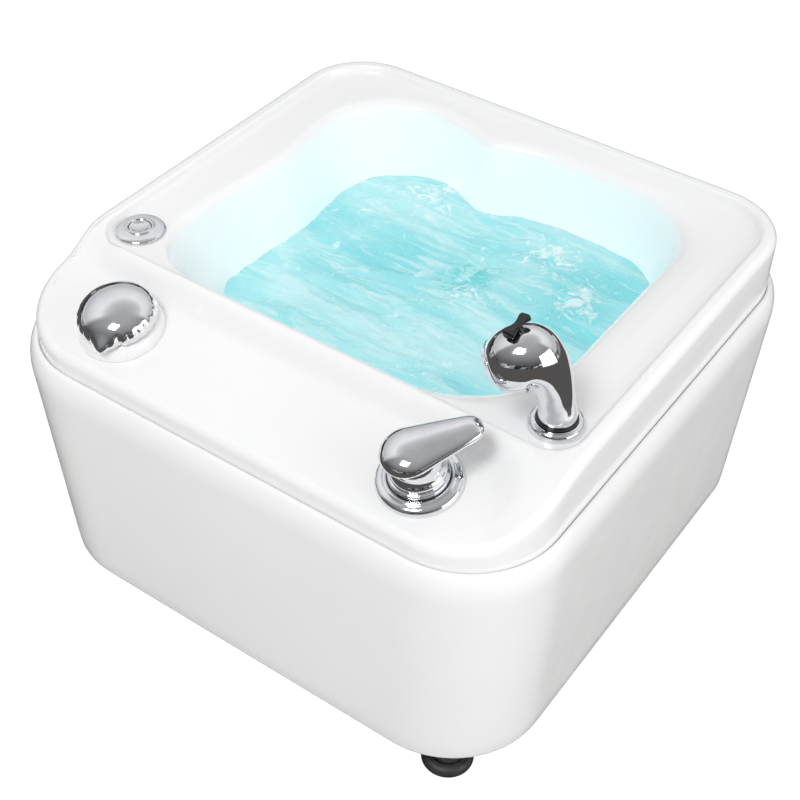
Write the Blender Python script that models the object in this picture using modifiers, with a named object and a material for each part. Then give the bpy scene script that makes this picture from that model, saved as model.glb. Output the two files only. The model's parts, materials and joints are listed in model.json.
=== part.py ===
"""Pedicure foot bath: a moulded tub on a tapered skirt, with its mixer, hand shower, drain and jet pump."""
import math

import bmesh
import bpy
from mathutils import Matrix, Vector

# ---------------------------------------------------------------- overall sizes (metres)
SIZE_X = 0.560                 # widest part of the skirt, left to right
SIZE_Y = 0.558                 # widest part of the skirt, front to back
FLOOR_GAP = 0.030              # floor to the underside of the skirt
GAP = 0.0003                   # clearance between pieces that rest on each other
SHELL = 0.004                  # acrylic thickness of tub and skirt

# ---------------------------------------------------------------- skirt
SKIRT_WIDE_Z = 0.2638          # height of the widest line
CREASE_Z = 0.2885              # top of the rounded shoulder, where the tub meets the skirt
CREASE_INSET = 0.0085
LEDGE_Z = 0.2855               # ledge inside the crease that carries the tub
LEDGE_INSET = 0.026
SKIRT_DRAFT = 0.0118           # how far the bottom edge is inside the widest line
RETURN_WIDTH = 0.014           # turned-in flange along the bottom edge
SKIRT_R_FRONT, SKIRT_R_BACK = 0.0976, 0.0820
BASE_R_FRONT, BASE_R_BACK = 0.0955, 0.0730

# ---------------------------------------------------------------- tub
WALL_INSET = 0.01075           # outer face of the tub's side wall, from the widest line
WALL_R_FRONT, WALL_R_BACK = 0.0868, 0.0712
RIM_Z = 0.3479                 # crest of the raised rim
DECK_FRONT_Z = 0.3100          # control deck at its front edge
DECK_SLOPE = 0.20              # rise of the deck per metre towards the back
WING_X = 0.195                 # the right end of the deck sweeps up from here
CLIMB_START = -0.1785          # where the deck turns up into the front lip
CLIMB_END = -0.158
TRAY_Z = 0.3400
BASIN = (-0.204, 0.197, -0.1425, 0.226)      # opening: left, right, front, back
BASIN_R = (0.118, 0.075, 0.085, 0.070)       # radii: front right, back right, back left, front left
BASIN_LEVELS = (               # height, then the inset at the left, right, front and back
    (0.3385, -0.0080, -0.0220, -0.0030, -0.0065), (0.3330, 0.0, 0.0, 0.0, 0.0),
    (0.3200, 0.0040, 0.0070, 0.0085, 0.0030), (0.2620, 0.0210, 0.0210, 0.0500, 0.0140),
    (0.1900, 0.0330, 0.0420, 0.0800, 0.0260), (0.1340, 0.0580, 0.0700, 0.1150, 0.0520),
    (0.1285, 0.0800, 0.0950, 0.1320, 0.0750))
CUSP_X, CUSP_DEPTH, CUSP_WIDTH = -0.045, 0.018, 0.034
WAIST_Y, WAIST_DEPTH, WAIST_WIDTH = 0.052, 0.009, 0.055
FLOOR_Z = 0.1270
DRAIN_X, DRAIN_Y, DRAIN_HOLE_R = -0.0135, 0.0750, 0.0246
ARC_STEPS = 5                          # faces round each corner
SIDE_STEPS = (0.25, 0.50, 0.75)        # where each straight side is divided
FLAT_X = 0.2005                        # the rim's front side is divided here, clear of the fittings

# ---------------------------------------------------------------- fittings on the deck and tray
DECK_TILT = math.atan(DECK_SLOPE)
MIXER_X, MIXER_Y = 0.1600, -0.2172
KNOB_X, KNOB_Y = -0.1600, -0.2175
SHOWER_X, SHOWER_Y = 0.2245, -0.1165
BUTTON_X, BUTTON_Y = -0.2270, -0.1180
LEVER_TURN = math.radians(52)          # lever direction at rest, from +X
HEAD_TURN = math.radians(210)          # hand shower outlet direction at rest, from +X
MIXER_HOLE_R, KNOB_HOLE_R = 0.0165, 0.0150
SHOWER_HOLE_R, BUTTON_HOLE_R = 0.0195, 0.0160
PIVOT_H = 0.0275                       # lever pivot above the deck, along the mixer's axis

# ---------------------------------------------------------------- under the tub
FOOT_X, FOOT_Y = 0.2110, 0.2310
RAIL = 0.0200                          # height of the frame's rails
RAIL_Z = FLOOR_GAP + SHELL + 0.0005
RAIL_TOP = RAIL_Z + RAIL
PUMP_Y, PUMP_Z = -0.1650, 0.1150
JET_Z = 0.2050
JET_X = (-0.1200, 0.0620)
SUCTION_Y, SUCTION_Z = 0.0850, 0.1630
RISER_X = 0.0420


# ---------------------------------------------------------------- scene and materials
def clear_scene():
    for obj in list(bpy.data.objects):
        bpy.data.objects.remove(obj, do_unlink=True)


def new_collection(name):
    coll = bpy.data.collections.new(name)
    bpy.context.scene.collection.children.link(coll)
    return coll


def material(name, colour, roughness, metallic=0.0):
    mat = bpy.data.materials.new(name)
    mat.use_nodes = True
    bsdf = mat.node_tree.nodes["Principled BSDF"]
    bsdf.inputs["Base Color"].default_value = (*colour, 1.0)
    bsdf.inputs["Roughness"].default_value = roughness
    bsdf.inputs["Metallic"].default_value = metallic
    mat.diffuse_color = (*colour, 1.0)
    return mat


clear_scene()
BATH = new_collection("pedicure_foot_bath")
CUTTERS = new_collection("cutters")
ACRYLIC = material("white_acrylic", (0.90, 0.91, 0.92), 0.12)
CHROME = material("chrome", (0.80, 0.80, 0.82), 0.06, 1.0)
STEEL = material("satin_steel", (0.62, 0.62, 0.63), 0.30, 1.0)
ZINC = material("zinc_plated_frame", (0.55, 0.56, 0.58), 0.40, 1.0)
RUBBER = material("black_rubber", (0.03, 0.03, 0.03), 0.75)
BLACK = material("black_plastic", (0.02, 0.02, 0.025), 0.35)
WHITE_PIPE = material("white_pipe", (0.85, 0.85, 0.83), 0.35)
BRAID = material("braided_hose", (0.66, 0.67, 0.69), 0.38, 1.0)
GREY_PLASTIC = material("grey_plastic", (0.32, 0.33, 0.35), 0.45)
MOTOR_PAINT = material("motor_enamel", (0.10, 0.13, 0.20), 0.40)
BRASS = material("brass", (0.78, 0.58, 0.28), 0.28, 1.0)
PLYWOOD = material("plywood", (0.62, 0.45, 0.28), 0.60)
AIR_LINE = material("clear_air_line", (0.72, 0.78, 0.80), 0.25)


# ---------------------------------------------------------------- mesh helpers
def add_object(name, mesh, mat, matrix=None, coll=None):
    obj = bpy.data.objects.new(name, mesh)
    (coll or BATH).objects.link(obj)
    if mat:
        obj.data.materials.append(mat)
    if matrix is not None:
        obj.matrix_world = matrix
    return obj


def smooth(obj, angle=35):
    obj.data.shade_smooth()
    obj.data.set_sharp_from_angle(angle=math.radians(angle))
    return obj


def lathe(name, profile, mat, matrix=None, steps=18, closed=False, coll=None):
    """Turn a profile of (radius, height) about Z; it runs down the outer side, top to bottom."""
    mesh = bpy.data.meshes.new(name)
    count = len(profile)
    edges = [(i, i + 1) for i in range(count - 1)]
    if closed:
        edges.append((count - 1, 0))
    mesh.from_pydata([(r, 0.0, z) for r, z in profile], edges, [])
    obj = add_object(name, mesh, mat, matrix, coll)
    screw = obj.modifiers.new("turn", "SCREW")
    screw.axis = "Z"
    screw.steps = screw.render_steps = steps
    screw.use_merge_vertices = True
    screw.merge_threshold = 0.00001
    screw.use_smooth_shade = True
    return obj


def face_outwards(mesh, weld=0.0):
    body = bmesh.new()
    body.from_mesh(mesh)
    if weld:
        bmesh.ops.remove_doubles(body, verts=body.verts, dist=weld)
    bmesh.ops.recalc_face_normals(body, faces=body.faces)
    body.to_mesh(mesh)
    body.free()


def loft(name, rings, mat, caps=(True, True), matrix=None, coll=None):
    """Skin closed rings of points that all have the same count."""
    count = len(rings[0])
    points = [p for ring in rings for p in ring]
    faces = []
    for k in range(len(rings) - 1):
        for i in range(count):
            j = (i + 1) % count
            faces.append((k * count + i, k * count + j, (k + 1) * count + j, (k + 1) * count + i))
    if caps[0]:
        faces.append(tuple(reversed(range(count))))
    if caps[1]:
        last = (len(rings) - 1) * count
        faces.append(tuple(range(last, last + count)))
    mesh = bpy.data.meshes.new(name)
    mesh.from_pydata([tuple(p) for p in points], [], faces)
    if caps[0] and caps[1]:
        face_outwards(mesh)
    return add_object(name, mesh, mat, matrix, coll)


def box(name, low, high, mat, coll=None):
    mesh = bpy.data.meshes.new(name)
    cube = bmesh.new()
    bmesh.ops.create_cube(cube, size=1.0)
    size = [h - l for l, h in zip(low, high)]
    mid = [(l + h) / 2 for l, h in zip(low, high)]
    bmesh.ops.transform(cube, matrix=Matrix.Translation(mid) @ Matrix.Diagonal((*size, 1.0)), verts=cube.verts)
    cube.to_mesh(mesh)
    cube.free()
    return add_object(name, mesh, mat, None, coll)


def cylinder(name, radius, low, high, mat, matrix=None, sides=32, coll=None):
    mesh = bpy.data.meshes.new(name)
    body = bmesh.new()
    place = Matrix.Translation((0, 0, (low + high) / 2))
    bmesh.ops.create_cone(body, cap_ends=True, segments=sides, radius1=radius, radius2=radius,
                          depth=high - low, matrix=place)
    body.to_mesh(mesh)
    body.free()
    return add_object(name, mesh, mat, matrix, coll)


def boolean(obj, other, operation="DIFFERENCE"):
    """Cut or join with a hidden tool object."""
    if other.name not in CUTTERS.objects:
        for coll in list(other.users_collection):
            coll.objects.unlink(other)
        CUTTERS.objects.link(other)
    other.hide_render = True
    other.display_type = "WIRE"
    mod = obj.modifiers.new(operation.lower(), "BOOLEAN")
    mod.operation = operation
    mod.solver = "EXACT"
    mod.object = other
    return obj


def cut_hole(obj, radius, low, high, matrix, sides=32):
    tool = cylinder("cut_" + obj.name, radius, low, high, None, matrix, sides, CUTTERS)
    return boolean(obj, tool)


def smooth_path(points, rounds=2):
    """Round the corners of a polyline, keeping both ends."""
    path = [Vector(p) for p in points]
    for _ in range(rounds):
        out = [path[0]]
        for a, b in zip(path[:-1], path[1:]):
            out += [a.lerp(b, 0.25), a.lerp(b, 0.75)]
        path = out + [path[-1]]
    return path


def tube(name, points, radius, mat, matrix=None, radii=None, sides=3, rounds=2, coll=None):
    """A solid rod swept along a path, as a curve turned into mesh with welded end caps."""
    curve = bpy.data.curves.new(name, "CURVE")
    curve.dimensions = "3D"
    path = smooth_path(points, rounds) if rounds else [Vector(p) for p in points]
    spline = curve.splines.new("POLY")
    spline.points.add(len(path) - 1)
    for i, (point, co) in enumerate(zip(spline.points, path)):
        point.co = (*co, 1.0)
        point.radius = radii[i] if radii else 1.0
    curve.bevel_depth = radius
    curve.bevel_resolution = sides
    curve.use_fill_caps = True
    temp = add_object(name, curve, mat, matrix, coll)
    graph = bpy.context.evaluated_depsgraph_get()
    mesh = bpy.data.meshes.new_from_object(temp.evaluated_get(graph))
    bpy.data.objects.remove(temp, do_unlink=True)
    bpy.data.curves.remove(curve)
    face_outwards(mesh, weld=0.00001)
    mesh.materials.clear()
    obj = add_object(name, mesh, mat, matrix, coll)
    obj.name = name
    return smooth(obj)


def place(x, y, z, tilt=0.0, turn=0.0):
    return Matrix.Translation((x, y, z)) @ Matrix.Rotation(tilt, 4, "X") @ Matrix.Rotation(turn, 4, "Z")


def attach(child, parent):
    """Parent a piece to the one that carries it, without moving it."""
    child.parent = parent
    child.matrix_parent_inverse = parent.matrix_world.inverted()


def facing(origin, direction):
    """A frame at origin whose Z runs along direction."""
    quat = Vector(direction).to_track_quat("Z", "Y")
    return Matrix.Translation(origin) @ quat.to_matrix().to_4x4()


# ---------------------------------------------------------------- plan outlines
def ease(t):
    t = min(max(t, 0.0), 1.0)
    return t * t * (3 - 2 * t)


def mix(a, b, t):
    return a + (b - a) * t


def rounded_outline(left, right, front, back, radii, front_x=None):
    """Rounded rectangle, counter-clockwise; radii are front right, back right, back left, front left."""
    fr, br, bl, fl = radii
    corners = ((right - fr, front + fr, fr, -90), (right - br, back - br, br, 0),
               (left + bl, back - bl, bl, 90), (left + fl, front + fl, fl, 180))
    points = []
    for k, (cx, cy, r, start) in enumerate(corners):
        for i in range(ARC_STEPS + 1):
            a = math.radians(start + 90 * i / ARC_STEPS)
            points.append((cx + r * math.cos(a), cy + r * math.sin(a)))
        nx, ny, nr, nstart = corners[(k + 1) % 4]
        a = math.radians(nstart)
        end = (nx + nr * math.cos(a), ny + nr * math.sin(a))
        x0, y0 = points[-1]
        steps = SIDE_STEPS
        if front_x and k == 3:
            near = max((x0 + front_x) / (x0 - end[0]), 0.02)
            steps = (near, 0.5, 1 - near)
        for t in steps:
            points.append((mix(x0, end[0], t), mix(y0, end[1], t)))
    return points


def body_ring(inset, z, r_front, r_back):
    """Ring of the outer body, inset from the widest line."""
    hx, hy = SIZE_X / 2 - inset, SIZE_Y / 2 - inset
    outline = rounded_outline(-hx, hx, -hy, hy, (r_front, r_back, r_back, r_front))
    return [(x, y, z(x, y) if callable(z) else z) for x, y in outline]


def top_height(x, y):
    """Height of the tub's deck and rim above the floor at a plan position."""
    hx, hy = SIZE_X / 2 - WALL_INSET, SIZE_Y / 2 - WALL_INSET
    deck = DECK_FRONT_Z + DECK_SLOPE * max(y + hy - 0.008, 0.0)
    right = ease((x - WING_X) / (hx - WING_X))
    edge = ease((abs(x) - 0.200) / (hx - 0.200))
    start = mix(CLIMB_START, -hy, right)
    end = mix(CLIMB_END, -0.128, edge)
    return mix(deck, RIM_Z, ease((y - start) / (end - start)))


def rim_ring(front, inset, drop=0.0, level=None):
    """Ring over the deck and rim: its own front line, with an even inset from the wall elsewhere."""
    hx, hy = SIZE_X / 2 - WALL_INSET - inset, SIZE_Y / 2 - WALL_INSET - inset
    away = front + SIZE_Y / 2 - WALL_INSET
    r_front = max(WALL_R_FRONT - away * 1.2, 0.030)
    r_back = WALL_R_BACK - inset
    outline = rounded_outline(-hx, hx, front, hy, (r_front, r_back, r_back, r_front), FLAT_X)
    return [(x, y, (level if level is not None else top_height(x, y)) - drop) for x, y in outline]


def basin_ring(z, left, right, front, back):
    """Ring of the basin, with its own inset on each side, the cusp at the back and the waist on the left."""
    x0, x1, y0, y1 = BASIN
    fr, br, bl, fl = BASIN_R
    radii = (max(fr - front * 0.2, 0.05), max(br - back * 0.6, 0.035), max(bl - back * 0.6, 0.035),
             max(fl - left * 0.6, 0.035))
    points = []
    for x, y in rounded_outline(x0 + left, x1 - right, y0 + front, y1 - back, radii):
        if y > y1 - back - 0.02:
            y -= CUSP_DEPTH * math.exp(-((x - CUSP_X) / CUSP_WIDTH) ** 2)
        if x < x0 + left + 0.02:
            x += WAIST_DEPTH * math.exp(-((y - WAIST_Y) / WAIST_WIDTH) ** 2)
        points.append((x, y, z))
    return points


def drain_ring(radius, z, like):
    """Circle round the drain whose points face those of a basin ring."""
    points = []
    for x, y, _ in like:
        a = math.atan2(y - DRAIN_Y, x - DRAIN_X)
        points.append((DRAIN_X + radius * math.cos(a), DRAIN_Y + radius * math.sin(a), z))
    return points


def thicken(obj):
    shell = obj.modifiers.new("thickness", "SOLIDIFY")
    shell.thickness = SHELL
    shell.offset = -1.0
    shell.use_even_offset = False
    return obj


# ---------------------------------------------------------------- shells
def make_tub():
    hy = SIZE_Y / 2 - WALL_INSET
    foot = LEDGE_Z + GAP
    rings = [
        body_ring(WALL_INSET, foot, WALL_R_FRONT, WALL_R_BACK),
        body_ring(WALL_INSET, lambda x, y: top_height(x, y) - 0.0075, WALL_R_FRONT, WALL_R_BACK),
        body_ring(WALL_INSET + 0.0022, lambda x, y: top_height(x, y) - 0.0022,
                  WALL_R_FRONT - 0.0022, WALL_R_BACK - 0.0022),
        rim_ring(-hy + 0.0075, 0.0070),
        rim_ring(-0.2350, 0.0076),
        rim_ring(CLIMB_START, 0.0088),
        rim_ring(-0.1725, 0.0100),
        rim_ring(-0.1650, 0.0106),
        rim_ring(-0.1585, 0.0114),
        rim_ring(-0.1545, 0.0138, drop=0.0010),
        rim_ring(-0.1515, 0.0160, drop=0.0040),
        rim_ring(-0.1500, 0.0172, level=TRAY_Z + 0.0010),
        rim_ring(-0.1478, 0.0215, level=TRAY_Z),
    ]
    rings += [basin_ring(*level) for level in BASIN_LEVELS]
    rings.append(drain_ring(DRAIN_HOLE_R, FLOOR_Z, rings[-1]))
    tub = loft("tub_shell", rings, ACRYLIC, caps=(False, False))
    thicken(tub)
    cut_hole(tub, MIXER_HOLE_R, -0.03, 0.02, deck_place(MIXER_X, MIXER_Y))
    cut_hole(tub, KNOB_HOLE_R, -0.03, 0.02, deck_place(KNOB_X, KNOB_Y))
    cut_hole(tub, SHOWER_HOLE_R, -0.02, 0.02, place(SHOWER_X, SHOWER_Y, TRAY_Z))
    cut_hole(tub, BUTTON_HOLE_R, -0.02, 0.02, place(BUTTON_X, BUTTON_Y, TRAY_Z))
    for x in JET_X:
        cut_hole(tub, JET_HOLE_R, -0.03, 0.02, jet_place(x))
    cut_hole(tub, SUCTION_HOLE_R, -0.03, 0.03, facing((RIGHT_WALL_X, SUCTION_Y, SUCTION_Z), SUCTION_OUT))
    return smooth(tub, 40)


def make_skirt():
    def wall(z):
        return SKIRT_DRAFT * (SKIRT_WIDE_Z - z) / (SKIRT_WIDE_Z - FLOOR_GAP)

    def radii(z):
        t = (z - FLOOR_GAP) / (SKIRT_WIDE_Z - FLOOR_GAP)
        return mix(BASE_R_FRONT, SKIRT_R_FRONT, t), mix(BASE_R_BACK, SKIRT_R_BACK, t)

    base = FLOOR_GAP
    inner = SKIRT_DRAFT + RETURN_WIDTH
    rings = [body_ring(inner, base, BASE_R_FRONT - RETURN_WIDTH, BASE_R_BACK - RETURN_WIDTH),
             body_ring(SKIRT_DRAFT + 0.003, base, BASE_R_FRONT - 0.003, BASE_R_BACK - 0.003),
             body_ring(SKIRT_DRAFT + 0.0006, base + 0.0012, BASE_R_FRONT, BASE_R_BACK)]
    for z in (base + 0.005, 0.150, SKIRT_WIDE_Z):
        rings.append(body_ring(wall(z), z, *radii(z)))
    rise = CREASE_Z - SKIRT_WIDE_Z
    for k in range(1, 4):
        a = math.radians(90 * k / 3)
        inset = CREASE_INSET * (1 - math.cos(a))
        rings.append(body_ring(inset, SKIRT_WIDE_Z + rise * math.sin(a),
                               SKIRT_R_FRONT - inset, SKIRT_R_BACK - inset))
    r_front, r_back = WALL_R_FRONT + 0.0006, WALL_R_BACK + 0.0006
    rings.append(body_ring(WALL_INSET - 0.0006, CREASE_Z - 0.0012, r_front, r_back))
    rings.append(body_ring(WALL_INSET - 0.0005, LEDGE_Z, r_front, r_back))
    narrow = LEDGE_INSET - WALL_INSET
    rings.append(body_ring(LEDGE_INSET, LEDGE_Z, WALL_R_FRONT - narrow, WALL_R_BACK - narrow))
    skirt = loft("skirt_shell", rings, ACRYLIC, caps=(False, False))
    thicken(skirt)
    cut_hole(skirt, 0.0175, -0.03, 0.03, facing((DRAIN_X, SIZE_Y / 2, TAIL_Z), (0, 1, 0)))
    return smooth(skirt, 40)


# ---------------------------------------------------------------- places that follow from the shells
JET_HOLE_R = 0.0112
SUCTION_HOLE_R = 0.0172
SUCTION_OUT = (1, 0, -0.5)
TAIL_Z = 0.0760
TAIL_END_Y = 0.2785
RIGHT_WALL_X = BASIN[1] - mix(BASIN_LEVELS[4][2], BASIN_LEVELS[5][2],
                              (BASIN_LEVELS[4][0] - SUCTION_Z) / (BASIN_LEVELS[4][0] - BASIN_LEVELS[5][0]))


def jet_place(x):
    """Frame on the basin's back wall at jet height, with Z pointing into the basin."""
    upper, lower = BASIN_LEVELS[3], BASIN_LEVELS[4]
    part = (upper[0] - JET_Z) / (upper[0] - lower[0])
    high, low = basin_ring(*upper), basin_ring(*lower)
    ring = [Vector(p).lerp(Vector(q), part) for p, q in zip(high, low)]
    for i, (a, b) in enumerate(zip(ring[:-1], ring[1:])):
        if a.y > 0 and b.x <= x < a.x:
            point = a.lerp(b, (a.x - x) / (a.x - b.x))
            normal = (b - a).cross(Vector(low[i]) - Vector(high[i]))
            return facing(point, -normal if normal.y > 0 else normal)
    raise ValueError("jet is off the back wall")


def deck_place(x, y, turn=0.0):
    return place(x, y, top_height(x, y), DECK_TILT, turn)


# ---------------------------------------------------------------- mixer
def hex_nut(name, across, low, high, bore, mat, matrix):
    nut = cylinder(name, across / math.sqrt(3), low, high, mat, matrix, sides=6)
    cut_hole(nut, bore, low - 0.01, high + 0.01, matrix)
    return nut


def make_mixer():
    deck = deck_place(MIXER_X, MIXER_Y)
    lathe("mixer_escutcheon", [(0.0336, 0.0068), (0.0358, 0.0050), (0.0366, 0.0022), (0.0366, GAP),
                               (0.0262, GAP), (0.0262, 0.0085), (0.0290, 0.0085)],
          CHROME, deck, steps=22, closed=True)
    profile = [(STEM_BORE_R, 0.0330)]
    for k in range(5):
        a = math.radians(68 - 68 * k / 4)
        profile.append((MIXER_DOME_R * math.cos(a), PIVOT_H + MIXER_DOME_R * math.sin(a)))
    profile += [(0.0212, 0.0215), (0.0236, 0.0178), (0.0236, 0.0142), (0.0229, 0.0130), (0.0256, 0.0118),
                (0.0256, GAP), (0.0158, GAP), (0.0158, -0.0480), (0.0146, -0.0500), (STEM_BORE_R, -0.0500)]
    lathe("mixer_body", profile, CHROME, deck, steps=20, closed=True)
    lathe("mixer_cartridge_stem", [(0.0, 0.0400), (0.0050, 0.0400), (0.0060, 0.0390), (0.0060, -0.0200),
                                   (0.0072, -0.0210), (0.0072, -0.0300), (0.0, -0.0300)],
          BRASS, deck, steps=16)
    make_lever(deck @ Matrix.Rotation(LEVER_TURN, 4, "Z"))
    lathe("mixer_back_nut", [(0.0235, -0.0052), (0.0250, -0.0066), (0.0250, -0.0130), (0.0235, -0.0144),
                             (0.0166, -0.0144), (0.0166, -0.0052)], BRASS, deck, steps=14, closed=True)


def lever_section(s, half_width, top):
    """Cross-section of the lever at s along the arm: a low dome over a narrow edge band, flat below."""
    rise = ease((s - LEVER_PROFILE[0][0]) / (LEVER_PROFILE[-1][0] - LEVER_PROFILE[0][0]))
    low = mix(LEVER_LOW, LEVER_LOW_TIP, rise)
    band = min(LEVER_BAND, (top - low) * 0.4)
    ring = [(s, -half_width * 0.93, low), (s, half_width * 0.93, low)]
    for k in range(LEVER_ARC + 1):
        a = math.pi * k / LEVER_ARC
        ring.append((s, half_width * math.cos(a), low + band + (top - low - band) * math.sin(a)))
    return ring


def make_lever(matrix):
    """Leaf-shaped cap over the body, hollowed below; it tilts about a pivot across the arm."""
    pivot = matrix @ Matrix.Translation((0, 0, PIVOT_H))
    rings = [[(x, y, z - PIVOT_H) for x, y, z in lever_section(*station)] for station in LEVER_PROFILE]
    lever = loft("mixer_lever", rings, CHROME, matrix=pivot)
    ball = bmesh.new()
    bmesh.ops.create_uvsphere(ball, u_segments=20, v_segments=10, radius=LEVER_CAVITY_R)
    mesh = bpy.data.meshes.new("lever_cavity")
    ball.to_mesh(mesh)
    ball.free()
    boolean(lever, add_object("lever_cavity", mesh, None, pivot, CUTTERS))
    smooth(lever, 35)


MIXER_DOME_R = 0.0205
STEM_BORE_R = 0.0075
LEVER_CAVITY_R = 0.0220                # hollow under the lever, 1.5 mm clear of the body's dome
LEVER_LOW, LEVER_LOW_TIP = 0.0380, 0.0455      # underside above the deck, at the back and at the tip
LEVER_BAND = 0.0018                    # height of the edge below the dome
LEVER_ARC = 9
LEVER_PROFILE = (                      # along the arm, half width, top above the deck
    (-0.0304, 0.0026, 0.0405), (-0.0292, 0.0072, 0.0430), (-0.0255, 0.0148, 0.0465), (-0.0195, 0.0202, 0.0494),
    (-0.0130, 0.0230, 0.0510), (-0.0060, 0.0239, 0.0518), (0.0020, 0.0231, 0.0521), (0.0110, 0.0212, 0.0522),
    (0.0200, 0.0192, 0.0523), (0.0300, 0.0169, 0.0524), (0.0400, 0.0145, 0.0524), (0.0470, 0.0124, 0.0520),
    (0.0520, 0.0094, 0.0510), (0.0548, 0.0060, 0.0498), (0.0558, 0.0024, 0.0484))


# ---------------------------------------------------------------- drain knob
def make_knob():
    deck = deck_place(KNOB_X, KNOB_Y)
    lathe("drain_knob_collar", [(0.0300, 0.0140), (0.0340, 0.0128), (0.0370, 0.0095), (0.0386, 0.0050),
                                (0.0389, 0.0020), (0.0389, GAP), (0.0146, GAP), (0.0146, -0.0380),
                                (0.0136, -0.0390), (0.0062, -0.0390), (0.0062, 0.0140)],
          ACRYLIC, deck, steps=22, closed=True)
    rings = []
    for z, radius in KNOB_LEVELS:
        ring = []
        for k in range(KNOB_STEPS):
            a = 2 * math.pi * k / KNOB_STEPS
            depth = KNOB_SCALLOP * (radius / KNOB_R) ** 4
            r = radius - depth * (0.5 - 0.5 * math.cos(KNOB_LOBES * a))
            swell = max(1 - abs(z - POINTER_Z) / POINTER_HEIGHT, 0.0)
            r += POINTER_OUT * math.exp(-((a - POINTER_ANGLE) / POINTER_SPREAD) ** 2) * swell
            ring.append((r * math.cos(a), r * math.sin(a), z))
        rings.append(ring)
    knob = loft("drain_knob", rings, CHROME, matrix=deck)
    spindle = cylinder("knob_spindle", 0.0058, -0.0450, 0.0200, None, deck, 20, CUTTERS)
    boolean(knob, spindle, "UNION")
    smooth(knob, 40)
    lathe("drain_knob_nut", [(0.0215, -0.0052), (0.0225, -0.0062), (0.0225, -0.0120), (0.0215, -0.0130),
                             (0.0154, -0.0130), (0.0154, -0.0052)], BLACK, deck, steps=14, closed=True)


KNOB_LOBES = 24
KNOB_STEPS = 96
KNOB_SCALLOP = 0.0014
KNOB_R = 0.0362
KNOB_LEVELS = ((0.0150, 0.0262), (0.0150, 0.0345), (0.0165, 0.0358), (0.0215, KNOB_R), (0.0262, 0.0352),
               (0.0310, 0.0318), (0.0352, 0.0256), (0.0380, 0.0176), (0.0392, 0.0086))    # height, radius
POINTER_ANGLE = math.radians(290)
POINTER_OUT, POINTER_SPREAD = 0.0066, 0.20
POINTER_Z, POINTER_HEIGHT = 0.0215, 0.0064


# ---------------------------------------------------------------- hand shower
def make_shower():
    tray = place(SHOWER_X, SHOWER_Y, TRAY_Z)
    lathe("shower_holder", [(0.0185, 0.0068), (0.0218, 0.0058), (0.0238, 0.0030), (0.0240, GAP),
                            (0.0190, GAP), (0.0190, -0.0300), (0.0152, -0.0300), (0.0152, 0.0068)],
          CHROME, tray, steps=20, closed=True)
    lathe("shower_bush", [(0.0176, 0.0092), (0.0180, 0.0086), (0.0180, 0.0072), (0.0149, 0.0072),
                          (0.0149, -0.0280), (0.0104, -0.0280), (0.0104, 0.0092)],
          BLACK, tray, steps=18, closed=True)
    lathe("shower_holder_nut", [(0.0250, -0.0070), (0.0262, -0.0082), (0.0262, -0.0140), (0.0250, -0.0152),
                                (0.0198, -0.0152), (0.0198, -0.0070)], BLACK, tray, steps=16, closed=True)
    head = tray @ Matrix.Rotation(HEAD_TURN, 4, "Z")
    path = [(s[0], 0.0, s[1]) for s in HANDSET]
    radii = [s[2] / HANDSET_R for s in HANDSET]
    handset = tube("shower_handset", path, HANDSET_R, CHROME, head, radii, sides=4, rounds=0)
    spigot = cylinder("handset_spigot", 0.0100, -0.0120, 0.0140, None, head, 24, CUTTERS)
    boolean(handset, spigot, "UNION")
    tip = head @ facing((HANDSET[-1][0], 0, HANDSET[-1][1]), HEAD_AXIS)
    recess = cylinder("nozzle_recess", 0.0142, -0.0045, 0.01, None, tip, 28, CUTTERS)
    boolean(handset, recess)
    nozzle = lathe("shower_nozzle", [(0.0, -0.0006), (0.0105, -0.0006), (0.0115, 0.0006), (0.0130, 0.0006),
                            (0.0139, -0.0002), (0.0139, -0.0042), (0.0, -0.0042)], GREY_PLASTIC, tip, steps=16)
    attach(nozzle, handset)
    saddle = head @ facing((SELECTOR_U, 0, SELECTOR_Z), HEAD_AXIS)
    mount = cylinder("selector_mount", 0.0042, -0.0090, -0.0015, None,
                     saddle @ Matrix.Rotation(math.radians(-90), 4, "X"), 16, CUTTERS)
    boolean(handset, mount, "UNION")
    attach(make_selector(saddle), handset)
    tube("shower_hose", [(0, 0, -0.0124), (0, 0, HOSE_END_Z - TRAY_Z)], 0.0065, BRAID, tray, sides=3, rounds=0)
    port = deck_place(MIXER_X, MIXER_Y)
    tube("shower_feed_pipe", [(SHOWER_X, SHOWER_Y, HOSE_END_Z - GAP), (SHOWER_X, SHOWER_Y, 0.070),
                              (0.210, -0.165, 0.066), (0.185, -0.205, 0.080), (0.172, -0.208, 0.130),
                              port @ Vector((0, 0.0088, -0.1000)), port @ Vector((0, 0.0088, -0.0503))],
         0.0048, BRAID, sides=1)


def make_selector(matrix):
    """Two-winged thumb piece that twists on top of the head; its Z runs along the head's axis."""
    turn = Matrix.Rotation(-SELECTOR_TURN, 4, "Y")
    rings = []
    for t, half, low, high in SELECTOR_PROFILE:
        ring = []
        for x, z in ((-half, low), (half, low), (half, high), (-half, high)):
            ring.append(turn @ Vector((t, z, x)))
        rings.append(ring)
    piece = loft("spray_selector", rings, BLACK, matrix=matrix)
    bevel = piece.modifiers.new("edges", "BEVEL")
    bevel.width = 0.0008
    bevel.segments = 2
    bevel.limit_method = "ANGLE"
    return smooth(piece, 40)


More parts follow.
